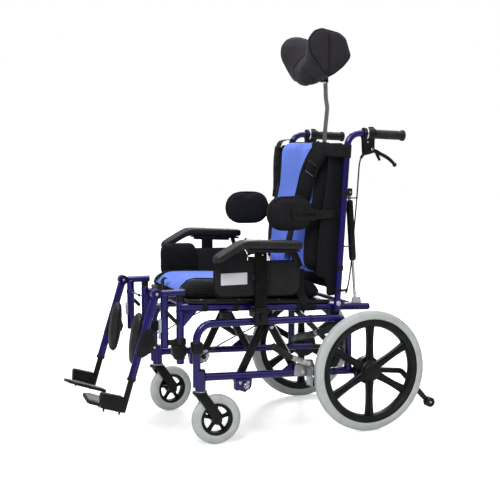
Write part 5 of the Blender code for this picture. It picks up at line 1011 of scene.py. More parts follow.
def leg_rest(side, s):
    x, hanger_y, seat_y = s * LEG_X, -0.692, LEG_Y
    knee, leg_end = Vector((x, -0.720, 0.489)), Vector((x, -0.802, 0.221))
    way = (leg_end - knee).normalized()
    hanger = [
        tube([(x, seat_y + 0.0135, 0.489), (x, -0.7025, 0.489)], 0.011, VIOLET, sides=24),
        turned([(0, 0.0110), (0.0100, 0.0110), (0.0112, 0.0124), (0.0112, 0.0150), (0, 0.0155)],
               (x, seat_y, 0.489), "Y", BLACK, 24),
        block((x - 0.0065, -0.712, 0.481), (x + 0.0065, hanger_y, 0.497), VIOLET, 0.002),
        tube([(x, hanger_y, 0.318), (x, hanger_y, 0.486)], 0.0125, VIOLET, sides=28),
        turned([(0, 0.3190), (0.0120, 0.3190), (0.0124, 0.3175), (0.0105, 0.3158), (0, 0.3155)], (x, hanger_y, 0), "Z",
               BLACK, 28),
        turned([(0, -0.0075), (0.0145, -0.0075), (0.0160, -0.0062), (0.0160, 0.0062), (0.0145, 0.0075), (0, 0.0075)],
               knee, "X", VIOLET, 40),
        tube([(x, seat_y, 0.4624), (x, seat_y, 0.485)], 0.012, BLACK, sides=24),
        cylinder(0.006, (x, seat_y, 0.4335), (x, seat_y, 0.470), STEEL),
        turned([(0.0136, 0.3218), (0.0178, 0.3218), (0.0190, 0.3232), (0.0190, 0.3402), (0.0176, 0.3418),
                (0.0136, 0.3418)], (x, seat_y, 0), "Z", BLACK, 36, closed=True),
        block((x - 0.008, hanger_y + 0.004, 0.3235), (x + 0.008, seat_y - 0.0160, 0.3400), BLACK, 0.002),
        band((x, hanger_y, 0.447), "Z", 0.0125, 0.0142, 0.007, VIOLET, 36),
        block((x - 0.007, hanger_y - 0.018, 0.366), (x + 0.007, hanger_y - 0.011, 0.408), GREY, 0.002),
        cylinder(0.0050, (x, hanger_y + 0.003, 0.428), (x + s * 0.026, hanger_y + 0.003, 0.428), STEEL),
        bar((x + s * 0.023, hanger_y - 0.002, 0.434), (x + s * 0.023, hanger_y + 0.040, 0.391), 0.012, 0.009, BLACK,
            0.003),
        cylinder(0.0030, (x, hanger_y, 0.447), (x - s * 0.110, hanger_y, 0.447), CHROME),
        turned([(0, 0.1045), (0.0048, 0.1045), (0.0052, 0.1055), (0.0052, 0.1090), (0.0040, 0.1100), (0, 0.1100)],
               (x, hanger_y, 0.447), (-s, 0, 0), BLACK, 24)]
    piece("leg_hanger_piece_" + side, hanger, "leg_hanger_" + side, ["leg_hanger_" + side])

    shin = [tube([knee + way * 0.024, leg_end], 0.0125, VIOLET, sides=28),
            turned([(0.0106, -0.008), (0.0138, -0.008), (0.0142, -0.006), (0.0142, 0.001), (0.0136, 0.0022),
                    (0.0106, 0.0022)], leg_end, way, BLACK, 32, closed=True)]
    for hand in (1, -1):
        inner, outer = x + hand * 0.008, x + hand * 0.012
        shin += [cylinder(0.0165, (inner, *knee.yz), (outer, *knee.yz), VIOLET, 0.001, 40),
                 band((outer, *knee.yz), (hand, 0, 0), 0.0085, 0.0125, 0.0010, BLACK, 36),
                 bar(Vector(((inner + outer) / 2, *knee.yz)), Vector(((inner + outer) / 2, *knee.yz)) + way * 0.045,
                     0.020, 0.003, VIOLET)]
        shin += bolt((outer, *knee.yz), (hand, 0, 0), 0.0042, STEEL, "hex", False)
    cover = [(-0.789, 0.300), (-0.770, 0.290), (-0.728, 0.311), (-0.722, 0.330), (-0.737, 0.380), (-0.764, 0.380)]
    shin += [plate(cover, x - 0.0145, x + 0.0145, BLACK, corner=0.008, edge=0.003),
             bolt((s * 0.2095, -0.730, 0.322), (s, 0, 0), 0.0036, STEEL, "hex", False),
             bolt((s * 0.2095, -0.757, 0.362), (s, 0, 0), 0.0040, BLACK, "dome", False),
             cylinder(0.0035, (x, -0.7375, 0.440), (x, -0.745, 0.360), CHROME),
             bar((x, -0.7365, 0.440), (x, -0.744, 0.444), 0.009, 0.007, STEEL)]
    piece("leg_tube_piece_" + side, shin, "leg_tube_" + side, ["leg_tube_" + side])

    foot_end = Vector((x, -0.831, 0.124))
    foot = [tube([knee + way * 0.190, foot_end], 0.0095, BLACK, sides=24),
            turned([(0, 0), (0.0088, 0), (0.0095, 0.0010), (0.0085, 0.0026), (0, 0.003)], foot_end, way, BLACK, 24),
            plate([(-0.901, 0.192), (-0.828, 0.171), (-0.824, 0.118), (-0.903, 0.142)], s * 0.1810, s * 0.2032, BLACK,
                  corner=0.008, edge=0.0025),
            plate([(-0.893, 0.180), (-0.838, 0.164), (-0.835, 0.130), (-0.894, 0.147)], s * 0.2028, s * 0.2040, BLACK,
                  corner=0.006, edge=0.0004),
            bolt((s * 0.2040, -0.842, 0.150), (s, 0, 0), 0.0042, BLACK),
            bolt((s * 0.2040, -0.880, 0.164), (s, 0, 0), 0.0036, BLACK, "dome")]
    for y, z in ((-0.890, 0.142), (-0.840, 0.127)):
        foot.append(cylinder(0.004, (s * 0.192, y, z), (s * 0.192, y - 0.002, z - 0.014), BLACK, 0.001, 20, 0.0025))
    piece("foot_tube_piece_" + side, foot, "foot_tube_" + side, ["foot_tube_" + side])

    hinge = Matrix.Translation((s * 0.171, -0.866, 0.136))
    place = hinge @ Matrix.Rotation(-math.radians(19), 4, "X") @ Matrix.Rotation(s * math.radians(6), 4, "Y")
    outline = [(-s * u, v) for u, v in ((-0.0065, 0.056), (-0.0065, -0.075), (0.0755, -0.075), (0.0935, -0.052),
                                        (0.0935, 0.056))]
    inner = [(-s * u, v) for u, v in ((0.010, 0.050), (0.010, -0.069), (0.0725, -0.069), (0.0880, -0.049),
                                      (0.0880, 0.050))]
    tread = [plate(outline, -0.0055, 0.0045, BLACK, plane="XY", corner=0.012, edge=0.002),
             plate(inner, 0.0040, 0.0053, TREAD, plane="XY", corner=0.008, edge=0.0004),
             cylinder(0.0095, (0, -0.036, 0), (0, 0.036, 0), BLACK, 0.0015),
             cylinder(0.0045, (0, -0.038, 0), (0, 0.038, 0), STEEL, 0.0005)]
    for k in range(11):
        v = -0.060 + 0.0105 * k
        reach = 0.084 if v > -0.045 else 0.070
        tread.append(block((-s * 0.015, v - 0.0022, 0.0048), (-s * reach, v + 0.0022, 0.0066), TREAD, 0.0006))
    for shape in tread:
        shape.data.transform(place)
    piece("footplate_piece_" + side, tread, "footplate_" + side, ["footplate_" + side])


# ---------------------------------------------------------------- soft goods

def loft(rings, material):
    """Skin over rings of equal length; each end closes on a middle point."""
    count = len(rings[0])
    vertices = [Vector(p) for ring in rings for p in ring]
    faces = ring_faces(len(rings), count)
    for start in (0, (len(rings) - 1) * count):
        vertices.append(sum((vertices[start + k] for k in range(count)), Vector()) / count)
        faces += [(start + k, start + (k + 1) % count, len(vertices) - 1) for k in range(count)]
    return mesh_object(vertices, faces, material)


def rounded_rect(half_x, half_y, corner, per_side=6, steps=8):
    """Rounded rectangle as 2D points, with extra points along its sides."""
    loop = fillet([(-half_x, -half_y, 0), (half_x, -half_y, 0), (half_x, half_y, 0), (-half_x, half_y, 0)], corner,
                  steps, True)
    made = []
    for k, point in enumerate(loop):
        following = loop[(k + 1) % len(loop)]
        made.append(point)
        if (following - point).length > corner * 0.6:
            made += [point.lerp(following, i / (per_side + 1)) for i in range(1, per_side + 1)]
    return made


def inflate(shape, voxel, cap, hold=None):
    """Voxel remesh, then Cloth with pressure; no point moves further than the cap."""
    last_frame = 20
    remesh = shape.modifiers.new("remesh", "REMESH")
    remesh.mode, remesh.voxel_size = "VOXEL", voxel
    apply_modifiers(shape)
    start = [v.co.copy() for v in shape.data.vertices]
    sim = shape.modifiers.new("cloth", "CLOTH")
    sim.settings.quality = 4
    sim.settings.mass = 0.3
    sim.settings.tension_stiffness = sim.settings.compression_stiffness = 8
    sim.settings.bending_stiffness = 0.6
    sim.settings.use_pressure = True
    sim.settings.uniform_pressure_force = 4.0
    sim.settings.effector_weights.gravity = 0
    sim.collision_settings.use_collision = False
    sim.point_cache.frame_start, sim.point_cache.frame_end = 1, last_frame
    for step in range(1, last_frame + 1):
        bpy.context.scene.frame_set(step)
    posed = shape.evaluated_get(bpy.context.evaluated_depsgraph_get())
    moved = [v.co.copy() for v in posed.data.vertices]
    shape.modifiers.remove(sim)
    bpy.context.scene.frame_set(1)
    for vertex, before, after in zip(shape.data.vertices, start, moved):
        step = after - before
        if step.length > cap:
            step = step.normalized() * cap
        if hold:
            step *= hold(before)
        vertex.co = before + step
    relax = shape.modifiers.new("relax", "SMOOTH")
    relax.factor, relax.iterations = 0.5, 4
    subdivide(shape, 1)
    shape.data.polygons.foreach_set("use_smooth", [True] * len(shape.data.polygons))
    return shape


def apply_modifiers(shape):
    evaluated = shape.evaluated_get(bpy.context.evaluated_depsgraph_get())
    mesh = bpy.data.meshes.new_from_object(evaluated)
    shape.modifiers.clear()
    shape.data = mesh


def subdivide(shape, levels):
    finer = shape.modifiers.new("finer", "SUBSURF")
    finer.levels = finer.render_levels = levels
    apply_modifiers(shape)


def press(shape, depth):
    """Moves each point along its normal by depth(point, normal), in metres; below zero presses in."""
    normals = [v.normal.copy() for v in shape.data.vertices]
    for vertex, normal in zip(shape.data.vertices, normals):
        vertex.co += normal * depth(vertex.co, normal)
    shape.data.update()


def groove(distance, width, depth):
    """Depth of a soft groove at a distance from its middle line."""
    return -depth * math.exp(-(distance / width) ** 2)


def wrinkle(shape, size, depth, seed=0.0):
    """Slight unevenness of stretched cloth over stuffing."""
    press(shape, lambda p, n: depth * noise.noise(Vector(p) / size + Vector((seed, seed * 0.7, 3.1))))


def paint(shape, material, inside):
    """Gives the faces whose middle passes the test another material."""
    shape.data.materials.append(material)
    index = len(shape.data.materials) - 1
    for polygon in shape.data.polygons:
        if inside(polygon.center, polygon.normal):
            polygon.material_index = index


def surface(shape):
    """Search tree over a shape's skin, for what is laid on it."""
    mesh = shape.data
    return BVHTree.FromPolygons([v.co.copy() for v in mesh.vertices], [tuple(p.vertices) for p in mesh.polygons])


def laid(tree, points, lift, cast):
    """Points dropped on a surface: along a direction where one is given, else to the nearest place."""
    made = []
    for point in points:
        point = Vector(point)
        hit = tree.ray_cast(point - Vector(cast) * 0.3, Vector(cast)) if cast else tree.find_nearest(point)
        if hit[0] is None:
            hit = tree.find_nearest(point)
        made.append(hit[0] + hit[1] * lift)
    return made


def piping(tree, points, radius, closed=True, lift=0.0, cast=None):
    """Corded edge that follows a seam on a surface."""
    path = laid(tree, points, lift, cast)
    if closed:
        path = path + [path[0], path[1]]
    for _ in range(2):
        inner = [(path[i - 1] + path[i] * 2 + path[i + 1]) / 4 for i in range(1, len(path) - 1)]
        path = [path[0], *inner, path[-1]]
    return sweep(path, disc_ring(radius, 10), PIPING)


def resample(points, spacing, closed=False):
    """Points at even steps along a line."""
    points = [Vector(p) for p in points]
    if closed:
        points.append(points[0])
    made, carry = [], 0.0
    for a, b in zip(points, points[1:]):
        length = (b - a).length
        while carry <= length and length > 0:
            made.append(a.lerp(b, carry / length))
            carry += spacing
        carry -= length
    return made


def soft(name, shape, extras, body, replaces):
    """Piece with stuffing."""
    made = piece(name, [shape, *extras], body, replaces, angle=60)
    return made


# Rings of the seat cushion from below upward: how far drawn in, and share of the thickness.
STUFFED = ((0.020, 0.0), (0.008, 0.06), (0.002, 0.20), (0.0, 0.42), (0.002, 0.66), (0.009, 0.85), (0.020, 0.95),
           (0.034, 0.98), (0.060, 0.99), (0.110, 1.00))


def seat_pad():
    half_x, half_y, thick, middle_y = 0.195, 0.250, 0.055, -0.380
    outline = rounded_rect(half_x - 0.004, half_y - 0.004, 0.034)
    lift = rail_z(middle_y) + FRAME_TUBE + SEAT_GAP + 0.012 + 0.0009
    tilt = Matrix.Rotation(-math.atan(SEAT_FALL), 4, "X")
    place = Matrix.Translation((0, middle_y, lift)) @ tilt
    back = place.inverted()
    rings = []
    for inset, share in STUFFED:
        ring = []
        for p in outline:
            x, y = p.x * (1 - inset / half_x), p.y * (1 - inset / half_y)
            roll = max(0.0, (-y - half_y + 0.08) / 0.08)
            ring.append(place @ Vector((x, y, 0.001 + share * (thick - 0.006) - 0.013 * roll * roll * share)))
        rings.append(ring)
    shape = inflate(loft(rings, CLOTH), 0.006, 0.008,
                    hold=lambda p: min(1.0, max(0.15, ((back @ p).z) / 0.02)))
    floor = 0.0004

    def local(p):
        return back @ p

    def panel_edge(q):
        """Half width of the blue panel, which widens down the front."""
        return 0.120 + 0.045 * min(1.0, max(0.0, (0.032 - q.z) / 0.016)) * (q.y < 0.06 - half_y)

    def seam(p):
        """Distance from the blue panel's edge, above zero inside the panel."""
        q = local(p)
        return min(panel_edge(q) - abs(q.x), half_y - 0.036 - q.y)

    press(shape, lambda p, n: groove(seam(p), 0.005, 0.0040) if local(p).z > 0.012 else 0.0)
    press(shape, lambda p, n: groove(local(p).z - 0.012, 0.004, 0.002))
    wrinkle(shape, 0.045, 0.0014)
    for vertex in shape.data.vertices:
        q = back @ vertex.co
        q.x = max(-half_x, min(half_x, q.x))
        q.y = max(-half_y, min(half_y, q.y))
        q.z = max(q.z, floor)
        vertex.co = place @ q
    shape.data.update()
    paint(shape, BLUE, lambda c, n: seam(c) > 0 and local(c).z > (0.013 if local(c).y < 0.02 - half_y else 0.030))
    tree = surface(shape)
    front = [(0.120, -0.236, 0.056), (0.120, -0.250, 0.044), (0.122, -0.2555, 0.033), (0.140, -0.257, 0.026),
             (0.158, -0.2575, 0.019), (0.165, -0.258, 0.012)]
    rear = half_y - 0.036
    half_loop = [(0.0, rear, 0.070), (0.060, rear, 0.070), (0.112, rear, 0.070), (0.120, rear - 0.010, 0.070),
                 (0.120, 0.10, 0.070), (0.120, -0.06, 0.070), (0.120, -0.20, 0.070), *front]
    seam_lines = [[place @ Vector((s * x, y, z)) for x, y, z in half_loop] for _, s in SIDES]
    low_loop = [place @ Vector((p.x, p.y, 0.012)) for p in resample(rounded_rect(half_x, half_y, 0.034), 0.008, True)]
    extras = [piping(tree, resample(line, 0.005), 0.0024, False, 0.0004) for line in seam_lines]
    extras.append(piping(tree, low_loop, 0.0020))
    soft("seat_pad", shape, extras, "seat", ["seat_cushion"])


def back_thickness(z):
    share = min(1.0, max(0.0, (0.84 - z) / 0.19))
    return 0.052 + 0.028 * share * share * (3 - 2 * share)


def back_skin_y(z, share):
    return post_y(z) - (0.0077 + SEAT_GAP + 0.010 + 0.0009) - share * back_thickness(z)


def back_pad():
    half_x, low, high = 0.1875, 0.520, 0.972
    half_z, middle_z = (high - low) / 2, (high + low) / 2
    outline = rounded_rect(half_x - 0.004, half_z - 0.004, 0.044)
    rings = []
    for inset, share in ((0.012, 0.0), (0.003, 0.06), (0.0, 0.20), (0.0, 0.60), (0.003, 0.82), (0.009, 0.94),
                         (0.022, 1.0), (0.060, 1.0), (0.110, 1.0)):
        rings.append([Vector((p.x * (1 - inset / half_x),
                              back_skin_y(middle_z + p.y * (1 - inset / half_z), 0.02 + share * 0.93),
                              middle_z + p.y * (1 - inset / half_z))) for p in outline])
    shape = inflate(loft(rings, CLOTH), 0.006, 0.007,
                    hold=lambda p: min(1.0, max(0.1, (back_skin_y(p.z, 0) - p.y) / 0.03)))
    panel = 0.146

    def front(p):
        return (back_skin_y(p.z, 0) - p.y) / back_thickness(p.z)

    press(shape, lambda p, n: groove(abs(p.x) - panel, 0.006, 0.0055) if front(p) > 0.5 else 0.0)
    press(shape, lambda p, n: groove(p.z - 0.742, 0.007, 0.0035) if front(p) > 0.5 and abs(p.x) < panel else 0.0)
    wrinkle(shape, 0.05, 0.0016, 2.0)
    for vertex in shape.data.vertices:
        p = vertex.co
        p.x = max(-half_x, min(half_x, p.x))
        p.z = max(low, min(high + 0.001, p.z))
        p.y = min(p.y, back_skin_y(p.z, 0) + 0.0003)
        p.y = max(p.y, back_skin_y(p.z, 1.05))
    shape.data.update()
    paint(shape, BLUE, lambda c, n: abs(c.x) < panel and front(c) > 0.45)
    tree = surface(shape)
    extras = []
    for s in (1, -1):
        line = [(s * panel, -0.30, 0.535 + 0.006 * k) for k in range(71)]
        extras.append(piping(tree, line, 0.0027, False, 0.0004, (0, 1, 0)))
    rim = [(p.x, back_skin_y(middle_z + p.y, 0.40), middle_z + p.y)
           for p in resample(rounded_rect(half_x, half_z, 0.046), 0.008, True)]
    extras.append(piping(tree, rim, 0.0022))
    soft("back_pad", shape, extras, "back", ["back_cushion"])
    return tree


def back_side_covers():
    """Black cloth sides that close the back between its cushion and the posts."""
    heights = (0.955, 0.93, 0.88, 0.84, 0.79, 0.74, 0.69, 0.63, 0.57, 0.520)
    outline = [(post_y(0.453) + 0.003, 0.453), (post_y(0.955) + 0.003, 0.955)]
    outline += [(back_skin_y(z, 0.62), z) for z in heights]
    outline += [(-0.1315, 0.512), (-0.1240, 0.480), (-0.1235, 0.453)]
    for side, s in SIDES:
        cover = plate(outline, s * 0.1900, s * 0.2054, CLOTH, corner=0.010, edge=0.003)
        piece("back_side_cover_" + side, [cover], "back", angle=50)


# Side outline of the headrest pad in its middle and at the tip of a wing, point by point.
HEAD_MIDDLE = ((-0.082, 1.311), (-0.094, 1.300), (-0.101, 1.280), (-0.122, 1.250), (-0.136, 1.215), (-0.138, 1.185),
               (-0.126, 1.164), (-0.104, 1.157), (-0.078, 1.160), (-0.060, 1.172), (-0.052, 1.200), (-0.049, 1.240),
               (-0.050, 1.280), (-0.060, 1.306))
HEAD_WING = ((-0.110, 1.346), (-0.140, 1.337), (-0.160, 1.312), (-0.163, 1.280), (-0.152, 1.250), (-0.132, 1.222),
             (-0.112, 1.196), (-0.090, 1.172), (-0.064, 1.184), (-0.032, 1.206), (-0.004, 1.238), (0.001, 1.252),
             (-0.020, 1.314), (-0.045, 1.332))


def head_ring(share, draw=0.0):
    """Side outline of the winged pad at a share of its half width, drawn in towards its middle."""
    wide = abs(share)
    blend = wide * wide * (3 - 2 * wide)
    ring = []
    for (y, z), (wing_y, wing_z) in zip(HEAD_MIDDLE, HEAD_WING):
        lobe = 0.012 * math.sin(math.pi * blend) * max(0.0, (z - 1.235) / 0.076)
        here_y = y + (wing_y - y) * blend
        ahead = max(0.0, -0.093 - here_y) / 0.070
        nose = 1 - 0.10 * ahead * blend
        ring.append(Vector((share * 0.140 * nose, here_y, z + (wing_z - z) * blend + lobe + share * 0.0055)))
    middle = sum(ring, Vector()) / len(ring)
    return [p.lerp(middle, draw) for p in fillet(ring, 0.02, 3, True)]


def head_pad():
    rings = [head_ring(k / 16, 0.04 + (0.16 if abs(k) == 16 else 0.05 if abs(k) == 15 else 0.0))
             for k in range(-16, 17)]
    shape = inflate(loft(rings, HEAD), 0.0045, 0.005)
    pocket = block((-0.013, -0.052, 1.138), (0.013, -0.006, 1.218), HEAD, 0.004)
    cut = shape.modifiers.new("pocket", "BOOLEAN")
    cut.operation, cut.object = "DIFFERENCE", pocket
    apply_modifiers(shape)
    bpy.data.objects.remove(pocket)

    def wedge_distance(p):
        """Distance from the slanting seams of the front, and whether the point is between them."""
        a, b = Vector((0, 1.281)), Vector((0.066, 1.165))
        q = Vector((abs(p.x), p.z))
        along = max(0.0, min(1.0, (q - a).dot(b - a) / (b - a).length_squared))
        gap = (q - a.lerp(b, along)).length
        inside = (b.y - a.y) * (q.x - a.x) - (b.x - a.x) * (q.y - a.y) > 0
        return gap, inside

    def relief(p, n):
        gap, inside = wedge_distance(p)
        in_front = n.y < -0.15
        depth = groove(gap, 0.004, 0.0035) if in_front else 0.0
        if in_front and inside:
            depth += 0.004 * min(1.0, gap / 0.014)
        if abs(p.x) > 0.105:
            depth += groove(p.y + 0.093, 0.003, 0.0022) + groove(p.y + 0.086, 0.003, 0.0016)
        return depth

    press(shape, relief)
    wrinkle(shape, 0.035, 0.0009, 5.0)
    tree = surface(shape)
    extras = []
    for s in (1, -1):
        line = [Vector((s * t * 0.066, -0.30, 1.281 - 0.116 * t)) for t in [k / 24 for k in range(25)]]
        extras.append(piping(tree, line, 0.0016, False, 0.0002, (0, 1, 0)))
        loop = resample(head_ring(s * 0.134 / 0.140), 0.006, True)
        extras.append(piping(tree, loop, 0.0020))
        for y in (-0.093, -0.086):
            line = [(s * 0.30, y, 1.200 + 0.0055 * k) for k in range(24)]
            extras.append(piping(tree, line, 0.0012, False, 0.0002, (-s, 0, 0)))
    hinge_y, hinge_z = -0.037, 1.176
    for s in (1, -1):
        extras.append(block((s * 0.0120, hinge_y - 0.014, hinge_z - 0.002), (s * 0.0160, hinge_y + 0.004,
                                                                          hinge_z + 0.024), BLACK, 0.002))
        extras += bolt((s * 0.0165, hinge_y, hinge_z + 0.003), (s, 0, 0), 0.0030, BLACK, "hex", False)
    extras.append(block((-0.024, hinge_y - 0.0175, hinge_z + 0.004), (0.024, hinge_y - 0.0125, hinge_z + 0.030), BLACK,
                        0.002))
    soft("head_pad", shape, extras, "headrest_pad", ["headrest_pad"])


def pillow(half_a, half_b, corner, rings, place, material):
    """Small stuffed pad: outline rings of (inset, depth), placed by a matrix, then inflated."""
    voxel, cap, draw = 0.004, 0.006, 0.003
    outline = rounded_rect(half_a - draw, half_b - draw, corner - draw, 5, 8)
    made = [[place @ Vector((p.x * (1 - inset / half_a), p.y * (1 - inset / half_b), depth)) for p in outline]
            for inset, depth in rings]
    return inflate(loft(made, material), voxel, cap)


def edge_loop(half_a, half_b, corner, depth, place):
    """Closed line round a pillow at one depth."""
    loop = resample(rounded_rect(half_a, half_b, corner, 4, 10), 0.005, True)
    return [place @ Vector((p.x, p.y, depth)) for p in loop]


def side_supports(side, s):
    half_y, half_z = 0.086, 0.0605
    place = Matrix(((0, 0, s, s * 0.171), (1, 0, 0, -0.256), (0, 1, 0, 0.731), (0, 0, 0, 1)))
    rings = ((0.024, 0.002), (0.008, 0.004), (0.002, 0.010), (0.0, 0.018), (0.002, 0.026), (0.010, 0.0315),
             (0.030, 0.0325))
    shape = pillow(half_y, half_z, half_z - 0.0015, rings, place, STRETCH)
    press(shape, lambda p, n: groove((p.x * s - 0.171) - 0.009, 0.0022, 0.0016) + groove((p.x * s - 0.171) - 0.029,
                                                                                      0.0022, 0.0016))
    wrinkle(shape, 0.03, 0.0008, 1.0 + s)
    for vertex in shape.data.vertices:
        vertex.co.x = s * min(vertex.co.x * s, 0.2055)
    tree = surface(shape)
    extras = [piping(tree, edge_loop(half_y, half_z, half_z - 0.0015, depth, place), 0.0018)
              for depth in (0.009, 0.029)]
    soft("side_support_" + side, shape, [*extras, *lateral_arm(s)], "lateral_support_" + side,
         ["lateral_support_" + side])


def guards(side, s):
    """Side guard: cloth panel with piped edge and pale plate, and the thick hip pad at its front."""
    corners = [(-0.539, 0.476), (-0.241, 0.468), (-0.239, 0.579), (-0.539, 0.586)]
    loop = fillet([(0, y, z) for y, z in corners], 0.032, 8, True)
    middle = sum(loop, Vector()) / len(loop)
    rings = []
    for inset, x in ((0.16, 0.2284), (0.03, 0.2287), (0.008, 0.2305), (0.0, 0.2335), (0.008, 0.2370), (0.03, 0.2391),
                     (0.16, 0.2394)):
        rings.append([Vector((s * x, *(p.lerp(middle, inset)).yz)) for p in loop])
    shape = loft(rings, GUARD)
    subdivide(shape, 2)
    wrinkle(shape, 0.03, 0.0005, 4.0)
    tree = surface(shape)
    rim = [Vector((s * 0.2338, p.y, p.z)) for p in resample(loop, 0.006, True)]
    extras = [piping(tree, rim, 0.0032)]
    for z in (0.500, 0.560):
        extras.append(cylinder(0.008, (s * 0.2390, ARM_Y, z), (s * 0.2462, ARM_Y, z), BLACK, 0.001))
    extras.append(block((s * 0.2388, -0.518, 0.511), (s * 0.2410, -0.428, 0.549), PALE, 0.0008))
    piece("guard_panel_" + side, [shape, *extras], "armrest_" + side, ["side_guard_" + side], angle=60)
    half_y, half_z, x0 = 0.0685, 0.060, 0.2288
    middle_y, middle_z = {"left": (-0.468, 0.5225), "right": (-0.509, 0.550)}[side]
    place = Matrix(((0, 0, -s, s * x0), (1, 0, 0, middle_y), (0, 1, 0, middle_z), (0, 0, 0, 1)))
    depths = ((0.020, -0.001), (0.004, 0.001), (0.0, 0.008), (0.001, 0.016), (0.006, 0.0235), (0.016, 0.0275),
              (0.034, 0.0285))
    pad = pillow(half_y, half_z, 0.028, depths, place, CLOTH)
    press(pad, lambda p, n: groove((x0 - p.x * s) - 0.010, 0.0022, 0.0015))
    wrinkle(pad, 0.03, 0.0009, 7.0 + s)
    for vertex in pad.data.vertices:
        vertex.co.x = s * min(max(vertex.co.x * s, 0.1975), x0 + 0.001)
    tree = surface(pad)
    extras = [piping(tree, edge_loop(half_y, half_z, 0.028, 0.010, place), 0.0020)]
    soft("hip_pad_" + side, pad, extras, "armrest_" + side, ())


def arm_pads(side, s):
    """Moulded armrest pad: full top, flat underside, front that drops."""
    top = [(-0.5540, 0.592), (-0.5525, 0.604), (-0.545, 0.6125), (-0.520, 0.6262), (-0.490, 0.6425), (-0.470, 0.6528),
           (-0.455, 0.6580), (-0.430, 0.6582), (-0.380, 0.6550), (-0.300, 0.6508), (-0.262, 0.6488), (-0.254, 0.6440)]
    low = [(-0.5500, 0.588), (-0.5450, 0.586), (-0.538, 0.587), (-0.515, 0.6000), (-0.485, 0.6165), (-0.465, 0.6260),
           (-0.448, 0.6298), (-0.425, 0.6288), (-0.380, 0.6262), (-0.300, 0.6220), (-0.262, 0.6202), (-0.254, 0.6240)]
    rings = []
    for (ty, tz), (ly, lz) in zip(top, low):
        index = len(rings)
        wide = (0.014, 0.021, 0.0245, 0.0262, 0.027, 0.027, 0.027, 0.027, 0.027, 0.027, 0.0255, 0.020)[index]
        up = Vector((0, ty - ly, tz - lz))
        ring = []
        for k in range(24):
            turn = 2 * math.pi * k / 24
            a, b = math.cos(turn), math.sin(turn)
            a, b = math.copysign(abs(a) ** 0.5, a), math.copysign(abs(b) ** (0.62 if b > 0 else 0.35), b)
            ring.append(Vector((s * 0.270 + wide * a, ly, lz)) + up * (0.5 + 0.5 * b))
        rings.append(ring)
    shape = loft(rings, SKIN)
    subdivide(shape, 2)
    press(shape, lambda p, n: groove(p.z - (arm_bottom_z(p.y) + 0.006), 0.0012, 0.0008) if p.y > -0.45 else 0.0)
    piece("arm_pad_" + side, [shape], "armrest_" + side, ["armrest_pad_" + side], angle=60)


def calf_pads(side, s):
    half_x, half_z = 0.036, 0.087
    place = Matrix(((1, 0, 0, s * 0.128), (0, 0.130, -1, -0.754), (0, 1, 0, 0.339), (0, 0, 0, 1)))
    depths = ((0.016, 0.001), (0.004, 0.003), (0.0, 0.010), (0.001, 0.016), (0.008, 0.0225), (0.020, 0.0245))
    shape = pillow(half_x, half_z, half_x - 0.0015, depths, place, SKIN)
    wrinkle(shape, 0.025, 0.0008, 9.0)
    tree = surface(shape)
    extras = [piping(tree, edge_loop(half_x, half_z, half_x - 0.0015, 0.011, place), 0.0019)]
    extras += [cylinder(0.006, (s * 0.128, -0.757, 0.335), (s * 0.1802, -0.757, 0.335), STEEL, 0.001),
               block((s * 0.112, -0.757, 0.312), (s * 0.144, -0.7515, 0.358), BLACK, 0.002),
               cylinder(0.0085, (s * 0.160, -0.757, 0.335), (s * 0.172, -0.757, 0.335), BLACK, 0.001)]
    soft("calf_pad_piece_" + side, shape, extras, "calf_pad_" + side, ["calf_pad_" + side])


# ---------------------------------------------------------------- straps and cables

def webbing(path, width, thickness, material, normal):
    """Flat strap along points; normal(point) gives the way its face looks."""
    half, ease = thickness / 2, 0.25
    ring = [(-width / 2, -half * ease), (-width / 2 + half, -half), (-width / 6, -half), (width / 6, -half),
            (width / 2 - half, -half), (width / 2, -half * ease), (width / 2, half * ease), (width / 2 - half, half),
            (width / 6, half), (-width / 6, half), (-width / 2 + half, half), (-width / 2, half * ease)]
    return sweep(path, ring, material, up=normal)


def laid_strap(tree, route, width, thickness, lift, material):
    """Strap laid on the front of a cushion: every point across it is dropped on the skin."""
    path = smooth_path([(x, 0, z) for x, z in route], 6)
    across_steps = (-1, -0.92, -0.6, -0.2, 0.2, 0.6, 0.92, 1)
    rings = []
    for i, point in enumerate(path):
        way = path[min(i + 1, len(path) - 1)] - path[max(i - 1, 0)]
        across = Vector((way.z, 0, -way.x)).normalized() * (width / 2)
        low, high = [], []
        for a in across_steps:
            start = Vector((point.x + across.x * a, -0.6, point.z + across.z * a))
            hit = tree.ray_cast(start, Vector((0, 1, 0)))
            y = hit[0].y if hit[0] is not None else back_skin_y(start.z, 1.0)
            edge = 0.0006 if abs(a) > 0.95 else 0.0
            low.append(Vector((start.x, y - lift - edge, start.z)))
            high.append(Vector((start.x, y - lift - thickness + edge, start.z)))
        rings.append(low + high[::-1])
    for _ in range(3):
        for i in range(1, len(rings) - 1):
            for k, point in enumerate(rings[i]):
                y = (rings[i - 1][k].y + point.y * 2 + rings[i + 1][k].y) / 4
                point.y = min(point.y, y)
    return loft(rings, material)


def bail(centre, half_w, half_h, radius, material, across, rise, middle=False):
    """Wire buckle: a rounded rectangle of wire, with a middle bar if asked."""
    across, rise = Vector(across).normalized(), Vector(rise).normalized()
    loop = fillet([across * (a * half_w) + rise * (b * half_h) for a, b in ((-1, -1), (1, -1), (1, 1), (-1, 1))],
                  min(half_w, half_h) * 0.45, 5, True)
    path = [Vector(centre) + p for p in loop]
    shapes = [sweep(path + path[:2], disc_ring(radius, 12), material, caps=False)]
    if middle:
        shapes.append(tube([Vector(centre) - across * half_w, Vector(centre) + across * half_w], radius, material,
                           sides=12, rim=0.0005))
    return shapes


